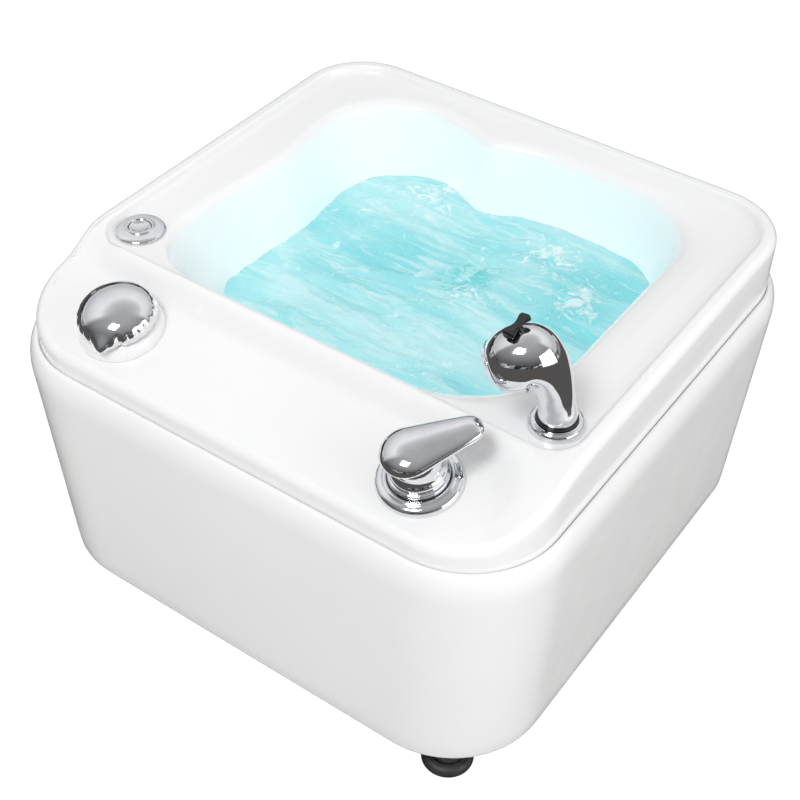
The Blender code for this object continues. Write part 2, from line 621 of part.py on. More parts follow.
HOSE_END_Z = 0.0850
HANDSET_R = 0.0275
HANDSET = (          # along, height above the tray, radius
    (0.0, 0.0097, 0.0163), (0.0, 0.0135, 0.0163), (0.0014, 0.0232, 0.0155), (0.0047, 0.0378, 0.0163),
    (0.0104, 0.0520, 0.0194), (0.0176, 0.0630, 0.0236), (0.0252, 0.0689, 0.0270), (0.0331, 0.0675, 0.0277),
    (0.0410, 0.0640, 0.0267), (0.0473, 0.0602, 0.0244), (0.0521, 0.0575, 0.0214), (0.0548, 0.0557, 0.0184))
HEAD_AXIS = Vector((0.917, 0.0, -0.399))
SELECTOR_U, SELECTOR_Z = 0.0385, 0.0992
SELECTOR_TURN = math.radians(41)
SELECTOR_PROFILE = (  # across the head, half width, underside, top
    (-0.0118, 0.0040, -0.0018, 0.0018), (-0.0088, 0.0052, -0.0016, 0.0036), (-0.0048, 0.0046, -0.0012, 0.0040),
    (0.0, 0.0042, -0.0012, 0.0038),
    (0.0048, 0.0050, -0.0012, 0.0042), (0.0092, 0.0060, -0.0018, 0.0042), (0.0128, 0.0048, -0.0022, 0.0020))


# ---------------------------------------------------------------- air switch button
def make_button():
    tray = place(BUTTON_X, BUTTON_Y, TRAY_Z + BUTTON_LIFT)
    lathe("air_button_flange", [(0.0120, 0.0040), (0.0128, 0.0044), (0.0136, 0.0036), (0.0150, 0.0030),
                                (0.0200, 0.0028), (0.0230, 0.0018), (0.0240, 0.0008), (0.0240, GAP),
                                (0.0155, GAP), (0.0155, -0.0330), (0.0108, -0.0330), (0.0108, 0.0036)],
          CHROME, tray, steps=20, closed=True)
    lathe("air_button", [(0.0, 0.0022), (0.0060, 0.0026), (0.0095, 0.0036), (0.0104, 0.0032),
                         (0.0104, -0.0050), (0.0050, -0.0050), (0.0050, -0.0200), (0.0, -0.0200)],
          CHROME, tray, steps=16)
    lathe("air_button_bellows", [(0.0, -0.0270), (0.0100, -0.0275), (0.0104, -0.0380),
                                 (0.0034, -0.0400), (0.0034, -0.0480), (0.0, -0.0480)],
          RUBBER, tray, steps=16)
    lathe("air_button_nut", [(0.0205, -0.0075), (0.0215, -0.0085), (0.0215, -0.0140), (0.0205, -0.0150),
                             (0.0163, -0.0150), (0.0163, -0.0075)], BLACK, tray, steps=14, closed=True)
    low = TRAY_Z + BUTTON_LIFT - 0.0483
    tube("air_tube", [(BUTTON_X, BUTTON_Y, low), (BUTTON_X, BUTTON_Y, low - 0.04), (-0.2300, -0.075, 0.210),
                      (-0.2250, 0.005, 0.200), (BOX_X, 0.020, BOX_TOP + 0.025), (BOX_X, 0.020, BOX_TOP + GAP)],
         0.0030, AIR_LINE, sides=1)


BOX_X = -0.2180
BUTTON_LIFT = 0.0010
BOX_TOP = 0.1500


# ---------------------------------------------------------------- drain
def make_drain():
    at = place(DRAIN_X, DRAIN_Y, FLOOR_Z)
    lathe("drain_body", [(0.0300, 0.0022), (0.0310, 0.0012), (0.0310, GAP), (0.0235, GAP), (0.0235, -0.0400),
                         (0.0180, -0.0400), (0.0180, -0.0010), (0.0240, 0.0022)],
          CHROME, at, steps=20, closed=True)
    lathe("drain_nut", [(0.0310, -0.0052), (0.0320, -0.0064), (0.0320, -0.0120), (0.0310, -0.0132),
                        (0.0245, -0.0132), (0.0245, -0.0052)], WHITE_PIPE, at, steps=14, closed=True)
    plug = [(0.0, 0.0064), (0.0150, 0.0058), (0.0205, 0.0042), (0.0212, 0.0030), (0.0205, 0.0022),
            (0.0168, 0.0006), (0.0168, -0.0030), (0.0030, -0.0040), (0.0030, -0.0330), (0.0, -0.0330)]
    lathe("popup_plug", plug, CHROME, at, steps=18)
    tail = cylinder("tail_pipe", 0.0165, 0.0, TAIL_END_Y - DRAIN_Y, WHITE_PIPE,
                    facing((DRAIN_X, DRAIN_Y, TAIL_Z), (0, 1, 0)), 24)
    drop = place(DRAIN_X, DRAIN_Y, 0)
    boolean(tail, cylinder("tail_cup", 0.0262, 0.0580, 0.0980, None, drop, 24, CUTTERS), "UNION")
    cut_hole(tail, 0.0238, 0.0867, 0.1100, drop, 24)
    cut_hole(tail, 0.0200, 0.0620, 0.0900, drop, 24)
    cut_hole(tail, 0.0140, 0.0050, 0.2500, facing((DRAIN_X, DRAIN_Y, TAIL_Z), (0, 1, 0)), 20)
    smooth(tail, 40)
    knob = deck_place(KNOB_X, KNOB_Y)
    start = knob @ Vector((0, 0, -0.0455))
    tube("drain_cable", [start, knob @ Vector((0, 0, -0.080)), (-0.160, -0.150, 0.140), (-0.130, -0.070, 0.096),
                         (-0.050, -0.020, 0.088), (DRAIN_X, 0.020, 0.090),
                         (DRAIN_X, DRAIN_Y - 0.0266, 0.0900)], 0.0032, BLACK, sides=1)


# ---------------------------------------------------------------- frame and feet
def make_frame():
    top, low = RAIL_TOP, RAIL_Z
    frame = box("base_frame", (-0.205, -0.2065, low), (0.205, -0.1865, top), ZINC)
    pieces = [((-0.205, 0.1965, low), (0.205, 0.2165, top))]
    for x, start in ((-0.192, -0.200), (-0.075, -0.200), (0.075, -0.200), (0.192, -0.222)):
        pieces.append(((x - 0.010, start, low), (x + 0.010, 0.206, top - 0.0002)))
    for i, (a, b) in enumerate(pieces):
        boolean(frame, box(f"rail_{i}", a, b, None, CUTTERS), "UNION")
    for i, (x, y) in enumerate(FOOT_PLACES.values()):
        lug = cylinder(f"lug_{i}", 0.0195, low + 0.0002, low + 0.006, None, place(x, y, 0), 12, CUTTERS)
        boolean(frame, lug, "UNION")
    for x, y in FOOT_PLACES.values():
        cut_hole(frame, 0.0054, low - 0.01, top + 0.01, place(x, y, 0), 12)
    return frame


FOOT_PLACES = {"front_right": (FOOT_X, -FOOT_Y), "front_left": (-0.2000, -0.2185),
               "back_right": (FOOT_X, FOOT_Y), "back_left": (-FOOT_X, FOOT_Y)}


def make_feet():
    for name, (x, y) in FOOT_PLACES.items():
        at = place(x, y, 0)
        lathe(f"foot_{name}_pad", [(0.0, 0.0040), (0.0145, 0.0040), (0.0145, 0.0085), (0.0205, 0.0085),
                                   (0.0238, 0.0062), (0.0245, 0.0015), (0.0235, 0.0), (0.0, 0.0)],
              RUBBER, at, steps=18)
        lathe(f"foot_{name}_stem", [(0.0, 0.0560), (0.0042, 0.0560), (0.0050, 0.0550), (0.0050, 0.0245),
                                    (0.0115, 0.0245), (0.0140, 0.0225), (0.0142, 0.0043), (0.0, 0.0043)],
              STEEL, at, steps=16)
        hex_nut(f"foot_{name}_nut", 0.0165, RAIL_Z + 0.006 + GAP, RAIL_Z + 0.0120, 0.0053, ZINC, at)


def make_saddles():
    for name, x in (("left", -0.075), ("right", 0.075)):
        saddle = box(f"basin_saddle_{name}", (x - 0.009, 0.005, RAIL_TOP + GAP), (x + 0.009, 0.140, SADDLE_TOP),
                     PLYWOOD)
        window = box(f"saddle_window_{name}", (x - 0.02, 0.035, 0.070), (x + 0.02, 0.110, 0.100), None, CUTTERS)
        boolean(saddle, window)


SADDLE_TOP = 0.1205


# ---------------------------------------------------------------- jet pump
def make_pump():
    plate = RAIL_TOP + GAP
    mount = box("pump_mount", (-0.115, -0.2250, plate), (0.105, -0.1050, plate + 0.004), ZINC)
    for i, x in enumerate((-0.070, -0.015)):
        post = box(f"cradle_{i}", (x, -0.190, plate + 0.002), (x + 0.012, -0.140, PUMP_Z - 0.015), None, CUTTERS)
        boolean(mount, post, "UNION")
    axis = facing((0, PUMP_Y, PUMP_Z), (1, 0, 0))
    cut_hole(mount, MOTOR_R + GAP, -0.12, 0.12, axis, 40)
    motor = lathe("pump_motor", [(0.0, -0.0800), (0.0052, -0.0800), (0.0052, 0.0150), (0.0300, 0.0150),
                                 (MOTOR_R - 0.004, 0.0120), (MOTOR_R, 0.0080), (MOTOR_R, -0.0850),
                                 (0.0360, -0.0960), (0.0260, -0.1000), (0.0, -0.1000)], MOTOR_PAINT, axis, steps=20)
    cut = cylinder("motor_flat", 0.006, MOTOR_R - 0.003, MOTOR_R + 0.01, None,
                   place(-0.040, PUMP_Y, PUMP_Z), 16, CUTTERS)
    boolean(motor, cut)
    lathe("pump_shaft", [(0.0, 0.0440), (0.0045, 0.0440), (0.0045, -0.0780), (0.0, -0.0780)], STEEL, axis, steps=16)
    housing = lathe("pump_housing", [(0.0150, 0.0780), (0.0150, 0.0560), (0.0400, 0.0530), (0.0460, 0.0480),
                                     (0.0460, 0.0200), (0.0430, 0.0155), (0.0056, 0.0155), (0.0056, 0.0200),
                                     (0.0390, 0.0200), (0.0410, 0.0230), (0.0410, 0.0460), (0.0380, 0.0490),
                                     (0.0120, 0.0510), (0.0120, 0.0780)], BLACK, axis, steps=22, closed=True)
    outlet = facing((OUTLET_X, PUMP_Y, OUTLET_Z), (0, 1, 0))
    spout = cylinder("pump_spout", 0.0140, 0.0300, 0.0640, None, outlet, 24, CUTTERS)
    boolean(housing, spout, "UNION")
    throat = cylinder("pump_throat", 0.0105, 0.0250, 0.0800, None, outlet, 24, CUTTERS)
    boolean(housing, throat)
    clear = lathe("pump_chamber", [(0.0, 0.0480), (0.0385, 0.0480), (0.0405, 0.0455), (0.0405, 0.0235),
                                   (0.0385, 0.0205), (0.0, 0.0205)], None, axis, steps=22, coll=CUTTERS)
    boolean(housing, clear)
    wheel = lathe("pump_impeller", [(0.0047, 0.0420), (0.0110, 0.0420), (0.0110, 0.0300), (0.0350, 0.0280),
                                    (0.0350, 0.0250), (0.0047, 0.0250)], BRASS, axis, steps=18, closed=True)
    for k in range(6):
        a = math.radians(60 * k)
        blade = box(f"vane_{k}", (-0.0008, 0.0100, 0.0270), (0.0008, 0.0340, 0.0400), None, CUTTERS)
        blade.matrix_world = axis @ Matrix.Rotation(a, 4, "Z")
        boolean(wheel, blade, "UNION")


MOTOR_R = 0.0380
OUTLET_X = 0.0345
OUTLET_Z = 0.0900


def make_jets():
    for name, x in zip(("left", "right"), JET_X):
        wall = jet_place(x)
        lathe(f"jet_{name}", [(0.0070, 0.0095), (0.0120, 0.0090), (0.0148, 0.0070), (0.0158, 0.0052),
                              (0.0158, 0.0042), (0.0105, 0.0042), (0.0105, -0.0150), (0.0060, -0.0150),
                              (0.0060, 0.0060)], CHROME, wall, steps=18, closed=True)
    y = max(jet_place(x).translation.y for x in JET_X) + 0.0290
    pipe = tube("jet_manifold", [(JET_X[0], y, JET_Z), (JET_X[1], y, JET_Z)], 0.0100, WHITE_PIPE, sides=3, rounds=0)
    for i, x in enumerate(JET_X):
        stub = cylinder(f"jet_stub_{i}", 0.0140, -0.0300, -0.0075, None, jet_place(x), 18, CUTTERS)
        boolean(pipe, stub, "UNION")
        cut_hole(pipe, 0.0109, -0.0156, 0.0000, jet_place(x), 18)
    riser = tube("jet_riser", [(RISER_X, y, JET_Z), (RISER_X, y, 0.098), (RISER_X, y - 0.030, OUTLET_Z),
                               (RISER_X, -0.040, OUTLET_Z), (OUTLET_X, -0.075, OUTLET_Z),
                               (OUTLET_X, PUMP_Y + 0.0644, OUTLET_Z)], 0.0105, None, sides=3, coll=CUTTERS)
    boolean(pipe, riser, "UNION")
    cut_hole(pipe, 0.0070, -0.001, 0.030, facing((OUTLET_X, PUMP_Y + 0.0644, OUTLET_Z), (0, 1, 0)), 20)
    smooth(pipe, 40)


def make_suction():
    wall = facing((RIGHT_WALL_X, SUCTION_Y, SUCTION_Z), [-c for c in SUCTION_OUT])
    cover = lathe("suction_cover", [(0.0080, 0.0100), (0.0210, 0.0088), (0.0248, 0.0055), (0.0255, 0.0035),
                                    (0.0255, 0.0012), (0.0165, 0.0012), (0.0165, -0.0150), (0.0130, -0.0150),
                                    (0.0130, 0.0060), (0.0080, 0.0060)], WHITE_PIPE, wall, steps=18, closed=True)
    for k in range(6):
        slot = box(f"slot_{k}", (-0.0014, 0.0105, 0.0), (0.0014, 0.0195, 0.02), None, CUTTERS)
        slot.matrix_world = wall @ Matrix.Rotation(math.radians(60 * k + 10), 4, "Z")
        boolean(cover, slot)
    end = wall @ Vector((0, 0, -0.0060))
    away = wall @ Vector((0, 0, -0.0560))
    pipe = tube("suction_pipe", [end, away, (0.2000, 0.0400, 0.1250), (0.2000, -0.080, PUMP_Z),
                                 (0.1850, PUMP_Y, PUMP_Z), (0.1300, PUMP_Y, PUMP_Z), (0.0700, PUMP_Y, PUMP_Z)],
                0.0190, WHITE_PIPE, sides=1)
    bore = tube("suction_bore", [wall @ Vector((0, 0, 0.0)), away, (0.2000, 0.0400, 0.1250), (0.2000, -0.080, PUMP_Z),
                                 (0.1850, PUMP_Y, PUMP_Z), (0.1300, PUMP_Y, PUMP_Z), (0.0500, PUMP_Y, PUMP_Z)],
                0.0155, None, sides=1, coll=CUTTERS)
    boolean(pipe, bore)
    cut_hole(pipe, 0.0171, -0.0156, 0.02, wall)
    cut_hole(pipe, 0.0153, 0.06, 0.0785, facing((0, PUMP_Y, PUMP_Z), (1, 0, 0)))
    smooth(pipe, 40)


def make_electrics():
    case = box("control_box", (-0.2420, -0.0300, RAIL_TOP + GAP), (-0.1840, 0.0900, BOX_TOP), GREY_PLASTIC)
    bevel = case.modifiers.new("edges", "BEVEL")
    bevel.width = 0.003
    bevel.segments = 2
    smooth(case, 40)
    tube("motor_cable", [(-0.2150, -0.0303, 0.0900), (-0.2150, -0.0700, 0.0900), (-0.1700, -0.1500, 0.0950),
                         (-0.1300, PUMP_Y, PUMP_Z), (-0.1003, PUMP_Y, PUMP_Z)], 0.0040, BLACK, sides=1)


def make_supply():
    deck = deck_place(MIXER_X, MIXER_Y)
    for name, side in (("hot", -1), ("cold", 1)):
        top = deck @ Vector((0.0085 * side, 0.0, -0.0503))
        x = MIXER_X + 0.0160 * side
        tube(f"{name}_supply_hose", [top, deck @ Vector((0.0085 * side, 0.0, -0.0800)), (x, -0.2400, 0.190),
                                     (x, -0.2420, 0.120), (x, -0.2380, 0.0800), (x, -0.2380, 0.0450)],
             0.0052, BRAID, sides=1)


make_tub()
make_skirt()
make_mixer()
make_knob()
make_shower()
make_button()
make_drain()
make_frame()
make_feet()
make_saddles()
make_pump()
make_jets()
make_suction()
make_electrics()
make_supply()
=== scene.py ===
"""Looks of the pedicure foot bath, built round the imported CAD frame; metres throughout."""
import json
import math

import bmesh
import bpy
from mathutils import Matrix, Vector, noise

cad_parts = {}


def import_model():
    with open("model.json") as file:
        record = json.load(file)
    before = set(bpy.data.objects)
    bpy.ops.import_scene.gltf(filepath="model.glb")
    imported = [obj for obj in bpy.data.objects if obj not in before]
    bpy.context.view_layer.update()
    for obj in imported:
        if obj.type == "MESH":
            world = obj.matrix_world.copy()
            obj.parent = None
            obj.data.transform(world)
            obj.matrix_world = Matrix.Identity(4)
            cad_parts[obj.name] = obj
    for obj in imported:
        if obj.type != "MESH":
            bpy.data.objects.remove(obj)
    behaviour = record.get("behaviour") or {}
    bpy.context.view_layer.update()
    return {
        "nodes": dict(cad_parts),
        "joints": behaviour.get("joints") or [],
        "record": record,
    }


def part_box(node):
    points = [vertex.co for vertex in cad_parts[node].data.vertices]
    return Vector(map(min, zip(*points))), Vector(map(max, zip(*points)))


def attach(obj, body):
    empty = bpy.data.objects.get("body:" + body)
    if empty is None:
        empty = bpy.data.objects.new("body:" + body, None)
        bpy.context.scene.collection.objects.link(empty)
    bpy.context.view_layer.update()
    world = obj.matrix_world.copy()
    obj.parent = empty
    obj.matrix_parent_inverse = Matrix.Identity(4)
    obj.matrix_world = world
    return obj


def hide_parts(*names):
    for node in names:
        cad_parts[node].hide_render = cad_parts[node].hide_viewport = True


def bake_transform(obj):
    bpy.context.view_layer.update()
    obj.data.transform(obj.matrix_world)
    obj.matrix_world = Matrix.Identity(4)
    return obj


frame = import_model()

JOINTS = {joint["name"]: joint for joint in frame["joints"]}
BODIES = frame["record"]["behaviour"]["bodies"]


# ---------------------------------------------------------------- places taken from the frame
def middle(node):
    low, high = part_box(node)
    return (low + high) / 2


def upright(place, z):
    """Frame above or below a place, at a height, with its axes along the world's."""
    return Matrix.Translation((place.x, place.y, z))


def axis_frame(joint):
    """Frame on a joint's axis: Z along the axis, X as near to the right as it can be."""
    z = Vector(JOINTS[joint]["axis"]).normalized()
    x = (Vector((1, 0, 0)) - z * z.x).normalized()
    y = z.cross(x)
    return Matrix.Translation(JOINTS[joint]["pos_m"]) @ Matrix((x, y, z)).transposed().to_4x4()


SKIRT_LOW, SKIRT_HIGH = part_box("skirt_shell")
TUB_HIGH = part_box("tub_shell")[1]
HALF_X, HALF_Y = SKIRT_HIGH.x, SKIRT_HIGH.y
WALL_INSET = HALF_X - TUB_HIGH.x
RIM_Z = TUB_HIGH.z
MIXER = axis_frame("mixer_swivel")
KNOB = axis_frame("drain_knob_turn")
SHOWER = axis_frame("shower_swivel")
TRAY_Z = SHOWER.translation.z
TAP_LIFT = Vector(JOINTS["mixer_lift"]["pos_m"])
TAP_ARM = Vector(JOINTS["mixer_swivel"]["axis"]).cross(Vector(JOINTS["mixer_lift"]["axis"])).normalized()
DRAIN = middle("drain_body")
BUTTON = middle("air_button_flange")
FLOOR_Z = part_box("drain_body")[1].z - 0.0022
TAIL_Z = 0.0760                # height of the waste pipe where it leaves through the skirt

# ---------------------------------------------------------------- shape of the shells
GAP = 0.0003
SHELL = 0.004
SKIRT_WIDE_Z = 0.2638          # height of the skirt's widest line
CREASE_Z = SKIRT_HIGH.z        # where the tub sits in the skirt
CREASE_INSET = 0.0085
SKIRT_DRAFT = 0.0118
SKIRT_R = ((0.0955, 0.0730), (0.0976, 0.0820))      # front and back corner radii, at the bottom and widest
WALL_R_FRONT, WALL_R_BACK = 0.0868, 0.0712
DECK_FRONT_Z = 0.3100
DECK_SLOPE = 0.20
DECK_LEVEL = 0.008             # the deck is level this far in from its front edge
WING_X = 0.195                 # the deck rises to the rim from here to the right
CLIMB_START, CLIMB_END = -0.1785, -0.158            # where the deck turns up to the rim, along Y
SIDE_X, SIDE_CLIMB_END = 0.200, -0.128              # near the sides it ends further back
BASIN = (-0.204, 0.197, -0.1425, 0.226)
BASIN_R = (0.118, 0.075, 0.085, 0.070)
CUSP_X, CUSP_DEPTH, CUSP_WIDTH = -0.045, 0.018, 0.034
WAIST_Y, WAIST_DEPTH, WAIST_WIDTH = 0.052, 0.009, 0.055
ARC_STEPS = 18                 # faces round a corner
SIDE_STEPS = 36                # faces along a side
WATER_Z = 0.2620


# ---------------------------------------------------------------- mesh helpers
def new_object(name, data):
    obj = bpy.data.objects.new(name, data)
    bpy.context.scene.collection.objects.link(obj)
    return obj


def smooth(mesh, angle):
    """Smooth shading, but edges that turn by more than the angle in degrees stay sharp."""
    mesh.shade_smooth()
    mesh.set_sharp_from_angle(angle=math.radians(angle))


def mesh_object(name, points, faces, matrix=None, angle=40, weld=0.0):
    """Object from points and faces, welded, facing out and smooth up to an edge angle."""
    mesh = bpy.data.meshes.new(name)
    mesh.from_pydata([tuple(p) for p in points], [], faces)
    body = bmesh.new()
    body.from_mesh(mesh)
    if weld:
        bmesh.ops.remove_doubles(body, verts=body.verts, dist=weld)
        bmesh.ops.dissolve_degenerate(body, edges=body.edges, dist=weld * 0.5)
    bmesh.ops.recalc_face_normals(body, faces=body.faces)
    if matrix is not None:
        bmesh.ops.transform(body, matrix=matrix, verts=body.verts)
    body.to_mesh(mesh)
    body.free()
    smooth(mesh, angle)
    return new_object(name, mesh)


def add_cones(mesh, cones):
    """Add capped cones, each given as a frame, radii at the bottom and top, length and number of sides."""
    body = bmesh.new()
    body.from_mesh(mesh)
    for place, bottom, top, length, sides in cones:
        bmesh.ops.create_cone(body, cap_ends=True, segments=sides, radius1=bottom, radius2=top, depth=length,
                              matrix=place)
    body.to_mesh(mesh)
    body.free()


def grid_faces(rows, columns):
    """Faces between rings of points, each ring closed on itself."""
    faces = []
    for r in range(rows - 1):
        for c in range(columns):
            d = (c + 1) % columns
            faces.append((r * columns + c, r * columns + d, (r + 1) * columns + d, (r + 1) * columns + c))
    return faces


def rounded(profile, radius, steps):
    """Profile with its inner corners rounded; a point may carry its own radius as a third number."""
    out = [Vector(profile[0][:2])]
    for before, here, after in zip(profile[:-2], profile[1:-1], profile[2:]):
        r = here[2] if len(here) > 2 else radius
        a, b, c = Vector(before[:2]), Vector(here[:2]), Vector(after[:2])
        u, v = a - b, c - b
        reach = min(r, u.length * 0.45, v.length * 0.45)
        if reach < 0.00005:
            out.append(b)
            continue
        start, end = b + u.normalized() * reach, b + v.normalized() * reach
        for i in range(steps + 1):
            t = i / steps
            out.append(start * (1 - t) ** 2 + b * (2 * t * (1 - t)) + end * t * t)
    out.append(Vector(profile[-1][:2]))
    return out


def spin(name, profile, matrix, sides=96, radius=0.0006, steps=4, angle=40, shape=None):
    """Solid of revolution about Z from (radius, height) points; both ends lie on the axis or meet."""
    path = rounded(profile, radius, steps)
    closed = path[0].x > 0.00001 and (path[0] - path[-1]).length < 0.00001
    if closed:
        path = path[:-1]
    points = []
    for p in path:
        for k in range(sides):
            a = 2 * math.pi * k / sides
            r = p.x if shape is None else shape(p.x, p.y, a)
            points.append((r * math.cos(a), r * math.sin(a), p.y))
    faces = grid_faces(len(path), sides)
    if closed:                                         # join the last ring to the first
        last = (len(path) - 1) * sides
        faces += [(last + c, last + (c + 1) % sides, (c + 1) % sides, c) for c in range(sides)]
    return mesh_object(name, points, faces, matrix, angle, weld=0.000002)


def modifier(obj, kind, **values):
    mod = obj.modifiers.new(kind.lower(), kind)
    for key, value in values.items():
        setattr(mod, key, value)


def facing(origin, direction):
    """Frame at a place with its Z along a direction."""
    return Matrix.Translation(origin) @ Vector(direction).to_track_quat("Z", "Y").to_matrix().to_4x4()


def dress(obj, slot, body, node):
    """Give a new piece the material of a slot and its body, and hide the CAD node it stands for."""
    obj.data.materials.clear()
    obj.data.materials.append(MATERIALS[slot])
    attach(obj, body)
    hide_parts(node)


# ---------------------------------------------------------------- plan outlines of the shells
def ease(t):
    t = min(max(t, 0.0), 1.0)
    return t * t * (3 - 2 * t)


def mix(a, b, t):
    return a + (b - a) * t


def spline(values, t):
    """Smooth curve through rows of numbers; t runs from 0 to the last row's index."""
    i = min(int(t), len(values) - 2)
    f = t - i
    p0, p1 = values[max(i - 1, 0)], values[i]
    p2, p3 = values[i + 1], values[min(i + 2, len(values) - 1)]
    return [0.5 * (2 * b + (c - a) * f + (2 * a - 5 * b + 4 * c - d) * f * f
                   + (3 * b - a - 3 * c + d) * f ** 3)
            for a, b, c, d in zip(p0, p1, p2, p3)]


def rounded_outline(left, right, front, back, radii):
    """Rounded rectangle, counter-clockwise; radii are front right, back right, back left, front left."""
    fr, br, bl, fl = radii
    corners = ((right - fr, front + fr, fr, -90), (right - br, back - br, br, 0),
               (left + bl, back - bl, bl, 90), (left + fl, front + fl, fl, 180))
    points = []
    for (cx, cy, r, start), (nx, ny, nr, turn) in zip(corners, corners[1:] + corners[:1]):
        for i in range(ARC_STEPS + 1):
            a = math.radians(start + 90 * i / ARC_STEPS)
            points.append((cx + r * math.cos(a), cy + r * math.sin(a)))
        a = math.radians(turn)
        end = (nx + nr * math.cos(a), ny + nr * math.sin(a))
        x0, y0 = points[-1]
        for i in range(1, SIDE_STEPS):
            t = i / SIDE_STEPS
            points.append((mix(x0, end[0], t), mix(y0, end[1], t)))
    return points


def body_ring(inset, z, r_front, r_back):
    hx, hy = HALF_X - inset, HALF_Y - inset
    outline = rounded_outline(-hx, hx, -hy, hy, (r_front, r_back, r_back, r_front))
    return [(x, y, z(x, y) if callable(z) else z) for x, y in outline]


def top_height(x, y):
    """Height of the tub's deck and rim at a plan position."""
    hx, hy = HALF_X - WALL_INSET, HALF_Y - WALL_INSET
    deck = DECK_FRONT_Z + DECK_SLOPE * max(y + hy - DECK_LEVEL, 0.0)
    right = ease((x - WING_X) / (hx - WING_X))
    edge = ease((abs(x) - SIDE_X) / (hx - SIDE_X))
    start = mix(CLIMB_START, -hy, right)
    end = mix(CLIMB_END, SIDE_CLIMB_END, edge)
    return mix(deck, RIM_Z, ease((y - start) / (end - start)))


def rim_ring(front, inset, drop=0.0, level=None):
    hx, hy = HALF_X - WALL_INSET - inset, HALF_Y - WALL_INSET - inset
    away = front + HALF_Y - WALL_INSET
    r_front = max(WALL_R_FRONT - away * 1.2, 0.030)
    r_back = WALL_R_BACK - inset
    outline = rounded_outline(-hx, hx, front, hy, (r_front, r_back, r_back, r_front))
    return [(x, y, (level if level is not None else top_height(x, y)) - drop) for x, y in outline]


def basin_ring(z, left, right, front, back):
    x0, x1, y0, y1 = BASIN
    fr, br, bl, fl = BASIN_R
    radii = (max(fr - front * 0.2, 0.05), max(br - back * 0.6, 0.035), max(bl - back * 0.6, 0.035),
             max(fl - left * 0.6, 0.035))
    points = []
    for x, y in rounded_outline(x0 + left, x1 - right, y0 + front, y1 - back, radii):
        near_back = ease((y - (y1 - back - 0.035)) / 0.025)
        y -= near_back * CUSP_DEPTH * math.exp(-abs((x - CUSP_X) / CUSP_WIDTH) ** 1.6)
        near_left = ease(((x0 + left + 0.035) - x) / 0.025)
        x += near_left * WAIST_DEPTH * math.exp(-((y - WAIST_Y) / WAIST_WIDTH) ** 2)
        points.append((x, y, z))
    return points


def drain_ring(radius, z, like):
    points = []
    for x, y, _ in like:
        a = math.atan2(y - DRAIN.y, x - DRAIN.x)
        points.append((DRAIN.x + radius * math.cos(a), DRAIN.y + radius * math.sin(a), z))
    return points


# ---------------------------------------------------------------- tub and skirt
BASIN_LEVELS = (               # height, then the inset at the left, right, front and back
    (0.3397, -0.0120, -0.0330, -0.0040, -0.0110), (0.3385, -0.0065, -0.0210, -0.0030, -0.0060),
    (0.3330, 0.0, 0.0, 0.0, 0.0),
    (0.3200, 0.0040, 0.0075, 0.0085, 0.0030), (0.2900, 0.0130, 0.0140, 0.0270, 0.0085),
    (0.2620, 0.0210, 0.0210, 0.0500, 0.0140),
    (0.2250, 0.0272, 0.0315, 0.0655, 0.0200), (0.1900, 0.0330, 0.0420, 0.0800, 0.0260),
    (0.1550, 0.0460, 0.0560, 0.0980, 0.0400), (0.1340, 0.0580, 0.0700, 0.1150, 0.0520),
    (0.1285, 0.0800, 0.0950, 0.1320, 0.0750))
LEVEL_STEPS = 4                # rings between two basin levels
EDGE_ROUND, EDGE_FALL = 0.0075, 0.0085              # rounding of the rim's outer edge, across and down
EDGE_RINGS = 6
SEAT = 0.0030                  # how far the tub's wall reaches down into the skirt
DRILL_LENGTH = 0.050


def shell(name, rings):
    """Acrylic sheet through the rings, thickened on its hidden side."""
    points = [p for ring in rings for p in ring]
    obj = mesh_object(name, points, grid_faces(len(rings), len(rings[0])), angle=180)
    modifier(obj, "SOLIDIFY", thickness=SHELL, offset=-1.0, use_even_offset=False)
    return obj


def drill(obj, *holes):
    """Cut round holes, each given as a frame on its axis and a radius, and keep the result as the mesh."""
    tool = new_object("drill", bpy.data.meshes.new("drill"))
    add_cones(tool.data, [(place, radius, radius, DRILL_LENGTH, 64) for place, radius in holes])
    modifier(obj, "BOOLEAN", operation="DIFFERENCE", solver="EXACT", object=tool)
    graph = bpy.context.evaluated_depsgraph_get()
    drilled = bpy.data.meshes.new_from_object(obj.evaluated_get(graph))
    obj.modifiers.clear()
    obj.data = drilled
    bpy.data.objects.remove(tool)
    smooth(drilled, 75)


